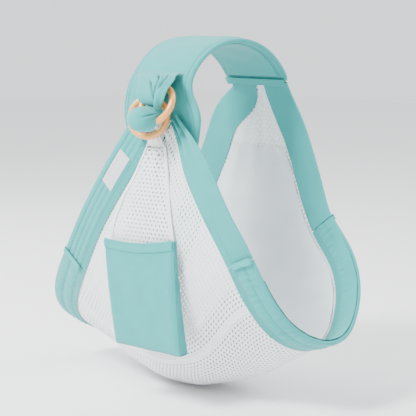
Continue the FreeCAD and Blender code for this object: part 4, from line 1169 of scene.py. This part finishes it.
TURN = math.radians(6.0)
across_tail = np.array([math.cos(TURN), math.sin(TURN), 0.0])
out_tail = np.array([math.sin(TURN), -math.cos(TURN), 0.0])
DROP, POCKET_H = 0.1655, 0.195
tail_line = Line([(TOP_Z, 0.031, -0.1625, 0.024), (TOP_Z - 0.16 * DROP, 0.029, -0.166, 0.0324),
                  (TOP_Z - 0.40 * DROP, 0.023, -0.1725, 0.0458), (TOP_Z - 0.70 * DROP, 0.012, -0.1765, 0.0626),
                  (TOP_Z - DROP, 0.009, -0.178, 0.0745), (TOP_Z - DROP - 0.33 * POCKET_H, 0.0145, -0.178, 0.0765),
                  (TOP_Z - DROP - 0.67 * POCKET_H, 0.021, -0.175, 0.0795),
                  (TOP_Z - DROP - POCKET_H, 0.0275, -0.170, 0.0820)])
TAIL_LEN = float(tail_line.marks[-1])
MOUTH = float(tail_line.marks[4])
mark_lines = np.linspace(0, TAIL_LEN, 400)
rows_at = tail_line.at(mark_lines)


def on_tail(x, y, off):
    """Points of the tail: across from its middle, down from the rings, and out in front of it."""
    r = np.stack([np.interp(y, mark_lines, rows_at[:, k]) for k in range(4)], -1)
    base = np.stack([r[..., 1], r[..., 2], r[..., 0]], -1)
    return base + across_tail * np.asarray(x)[..., None] + out_tail * np.asarray(off)[..., None]


def tail_half(y):
    return np.interp(y, mark_lines, rows_at[:, 3])


def tail_wave(x, y):
    top = np.exp(-(y / 0.055) ** 1.6)
    half = tail_half(y)
    return (top * 0.0028 * np.sin(x / half * math.pi * 2.4 + 0.4)
            + 0.0012 * ripple(x, y, 71, 0.05, 0.12) * ease(y / 0.03) * ease((MOUTH - y) / 0.03))


tail, area = perforated("tail_hanging_knit", lambda x, y: on_tail(x, y, tail_wave(x, y)),
                        lambda x, y: (np.abs(x) + PITCH * 0.5 < tail_half(y)) & (y > 0.003) & (y < TAIL_LEN - 0.003),
                        (-0.09, 0.09), (0.0, TAIL_LEN), PITCH, HOLE, 0.0010)
dress(tail, knit, "tail", "mesh", "tail_mesh")
for name, side, node in (("tail_left_binding", -1, "tail_edge_left"), ("tail_right_binding", 1, "tail_edge_right")):
    y = np.linspace(0.0, MOUTH + 0.002, 90)[:, None]
    lip = np.linspace(-1, 1, 13)[None, :] * math.pi / 2
    x = side * (tail_half(y) - 0.0072 + 0.0072 * np.cos(lip))
    off = tail_wave(x, y + 0 * lip) + 0.0016 * np.sin(lip)
    edge_points = on_tail(x, y + 0 * lip, off)
    edge = cloth(name, edge_points, 0.0007, knit, "tail", "mesh", node)
    cut_size(edge_points)

# Pocket.
# A flat cotton pocket with a turned hem, sagging at its mouth, stands off the knit on two gussets, of
# which the right one widens towards the base. At its mouth it reaches past the edges of the knit.
PLY0, ROOM, BASE_EXTRA = 0.0009, 0.009, 0.013
POCKET_HALF, SHY = 0.080, 0.0034  # half its width, and how far gussets and base stop behind its front


def front_off(t, drop):
    return PLY0 + ROOM + BASE_EXTRA * drop * (0.5 + 0.5 * t)


def on_pocket(t, drop, off):
    """Points of the pocket: across it from -1 to 1, down it from 0 to 1, and out from its front."""
    y = MOUTH + drop * POCKET_H
    sag = 0.007 * (1 - t * t) * (1 - drop) - 0.005 * t * (1 - drop)
    p = on_tail(POCKET_HALF * t, y, front_off(t, drop) + off)
    p[..., 2] -= sag
    return p


def pocket_wave(t, drop):
    x, y = t * POCKET_HALF, drop * POCKET_H
    body = ease((1 - np.abs(t)) / 0.12) * ease((1 - drop) / 0.06)
    from_corner = ((t + 0.75) / 0.5) ** 2 + ((drop - 0.15) / 0.25) ** 2
    pull = 0.0016 * np.sin((x * 0.8 + y * 1.2) * 42) * np.exp(-from_corner)
    return (0.0018 * ripple(x, y, 81, 0.06, 0.16) + 0.0007 * ripple(x, y, 82, 0.02, 0.05) + pull + 0.002) * body


def corner_round(t, drop):
    """Front edge of the pocket, rolled back to the gussets."""
    e = np.minimum(1 - np.abs(t), (1 - drop) * POCKET_H / POCKET_HALF)
    return -0.0030 * (1 - np.clip(e / 0.06, 0, 1)) ** 2


t, drop = np.meshgrid(np.r_[-1, -0.995, -0.985, -0.97, np.linspace(-0.95, 0.95, 64), 0.97, 0.985, 0.995, 1],
                      np.r_[np.linspace(0, 0.96, 76), 0.975, 0.988, 0.996, 1.0])
front_points = on_pocket(t, drop, 0.0008 + pocket_wave(t, drop) + corner_round(t, drop))
# Painted shading on the pocket front: a painted shadow in a line under the turned hem and a painted highlight along
# the rolled side edges.
seam = -0.35 * np.exp(-((drop - 0.079) / 0.006) ** 2) + 0.15 * np.exp(-((1 - np.abs(t)) / 0.03) ** 2)
front = cloth("pocket_cloth_front", front_points, 0.0010, cotton, "tail", "cotton", "pocket_front", fold=seam)
cut_size(front_points)
t, drop = np.meshgrid(np.linspace(-0.985, 0.985, 70), np.linspace(-0.012, 0.078, 14))
roll = 0.0016 * np.sqrt(np.clip(1 - ((drop - 0.033) / 0.0452) ** 2, 0, 1))
mouth_points = on_pocket(t, drop, 0.0020 + roll + pocket_wave(t, np.maximum(drop, 0)) + corner_round(t, 0 * drop))
# Painted light: the turned hem is painted a little lighter than the pocket front.
mouth = cloth("pocket_turned_hem", mouth_points, 0.0012, cotton, "tail", "cotton", "pocket_hem", fold=0.10 + 0 * t)
cut_size(mouth_points)
for name, side, node in (("pocket_left_gusset", -1.0, "pocket_gusset_left"),
                         ("pocket_right_gusset", 1.0, "pocket_gusset_right")):
    drop = np.linspace(0.0 if side > 0 else 0.03, 1.0, 70)[:, None]
    deep = np.linspace(0, 1, 16)[None, :]
    span = front_off(side, drop) - SHY
    tuck = -0.0030 * np.sin(deep * math.pi) * (0.6 + 0.4 * np.sin(drop * 19 + side))
    base = on_tail(side * POCKET_HALF + side * tuck, MOUTH + drop * POCKET_H + 0 * deep, PLY0 + deep * span)
    base[..., 2] -= -0.005 * side * (1 - drop)
    # Painted shade: the gussets are painted darker than the pocket front.
    gusset = cloth(name, base, 0.0009, cotton, "tail", "cotton", node, fold=-0.25 + 0 * (drop + deep))
    max(0.010, cut_size(base)[0])
    cut_size(base)[1]
t, deep = np.meshgrid(np.linspace(-0.985, 0.985, 40), np.linspace(0, 1, 10))
floor_points = on_tail(POCKET_HALF * t, TAIL_LEN + 0 * t, PLY0 + deep * (front_off(t, 1.0) - SHY))
bottom = cloth("pocket_cloth_base", floor_points, 0.0009, cotton, "tail", "cotton", "pocket_base")
cut_size(floor_points)


def pocket_run(ts, drops, lift):
    ts, drops = ts + 0 * drops, drops + 0 * ts
    line = on_pocket(ts, drops, lift + pocket_wave(ts, np.maximum(drops, 0)) + corner_round(ts, 0 * drops + 0.2))
    return line, np.repeat(out_tail[None], len(line), 0)


across_t, down_t = np.linspace(-0.97, 0.97, 80), np.linspace(0.09, 0.975, 120)
pocket_runs = [pocket_run(across_t, 0.070 + 0 * across_t, 0.0034), pocket_run(across_t, 0.0 * across_t, 0.0046),
               pocket_run(-0.955 + 0 * down_t, down_t, 0.0014), pocket_run(0.955 + 0 * down_t, down_t, 0.0014),
               pocket_run(across_t * 0.98, 0.972 + 0 * across_t, 0.0014)]
stitches("pocket_stitching", pocket_runs, thread, "tail", "binding")
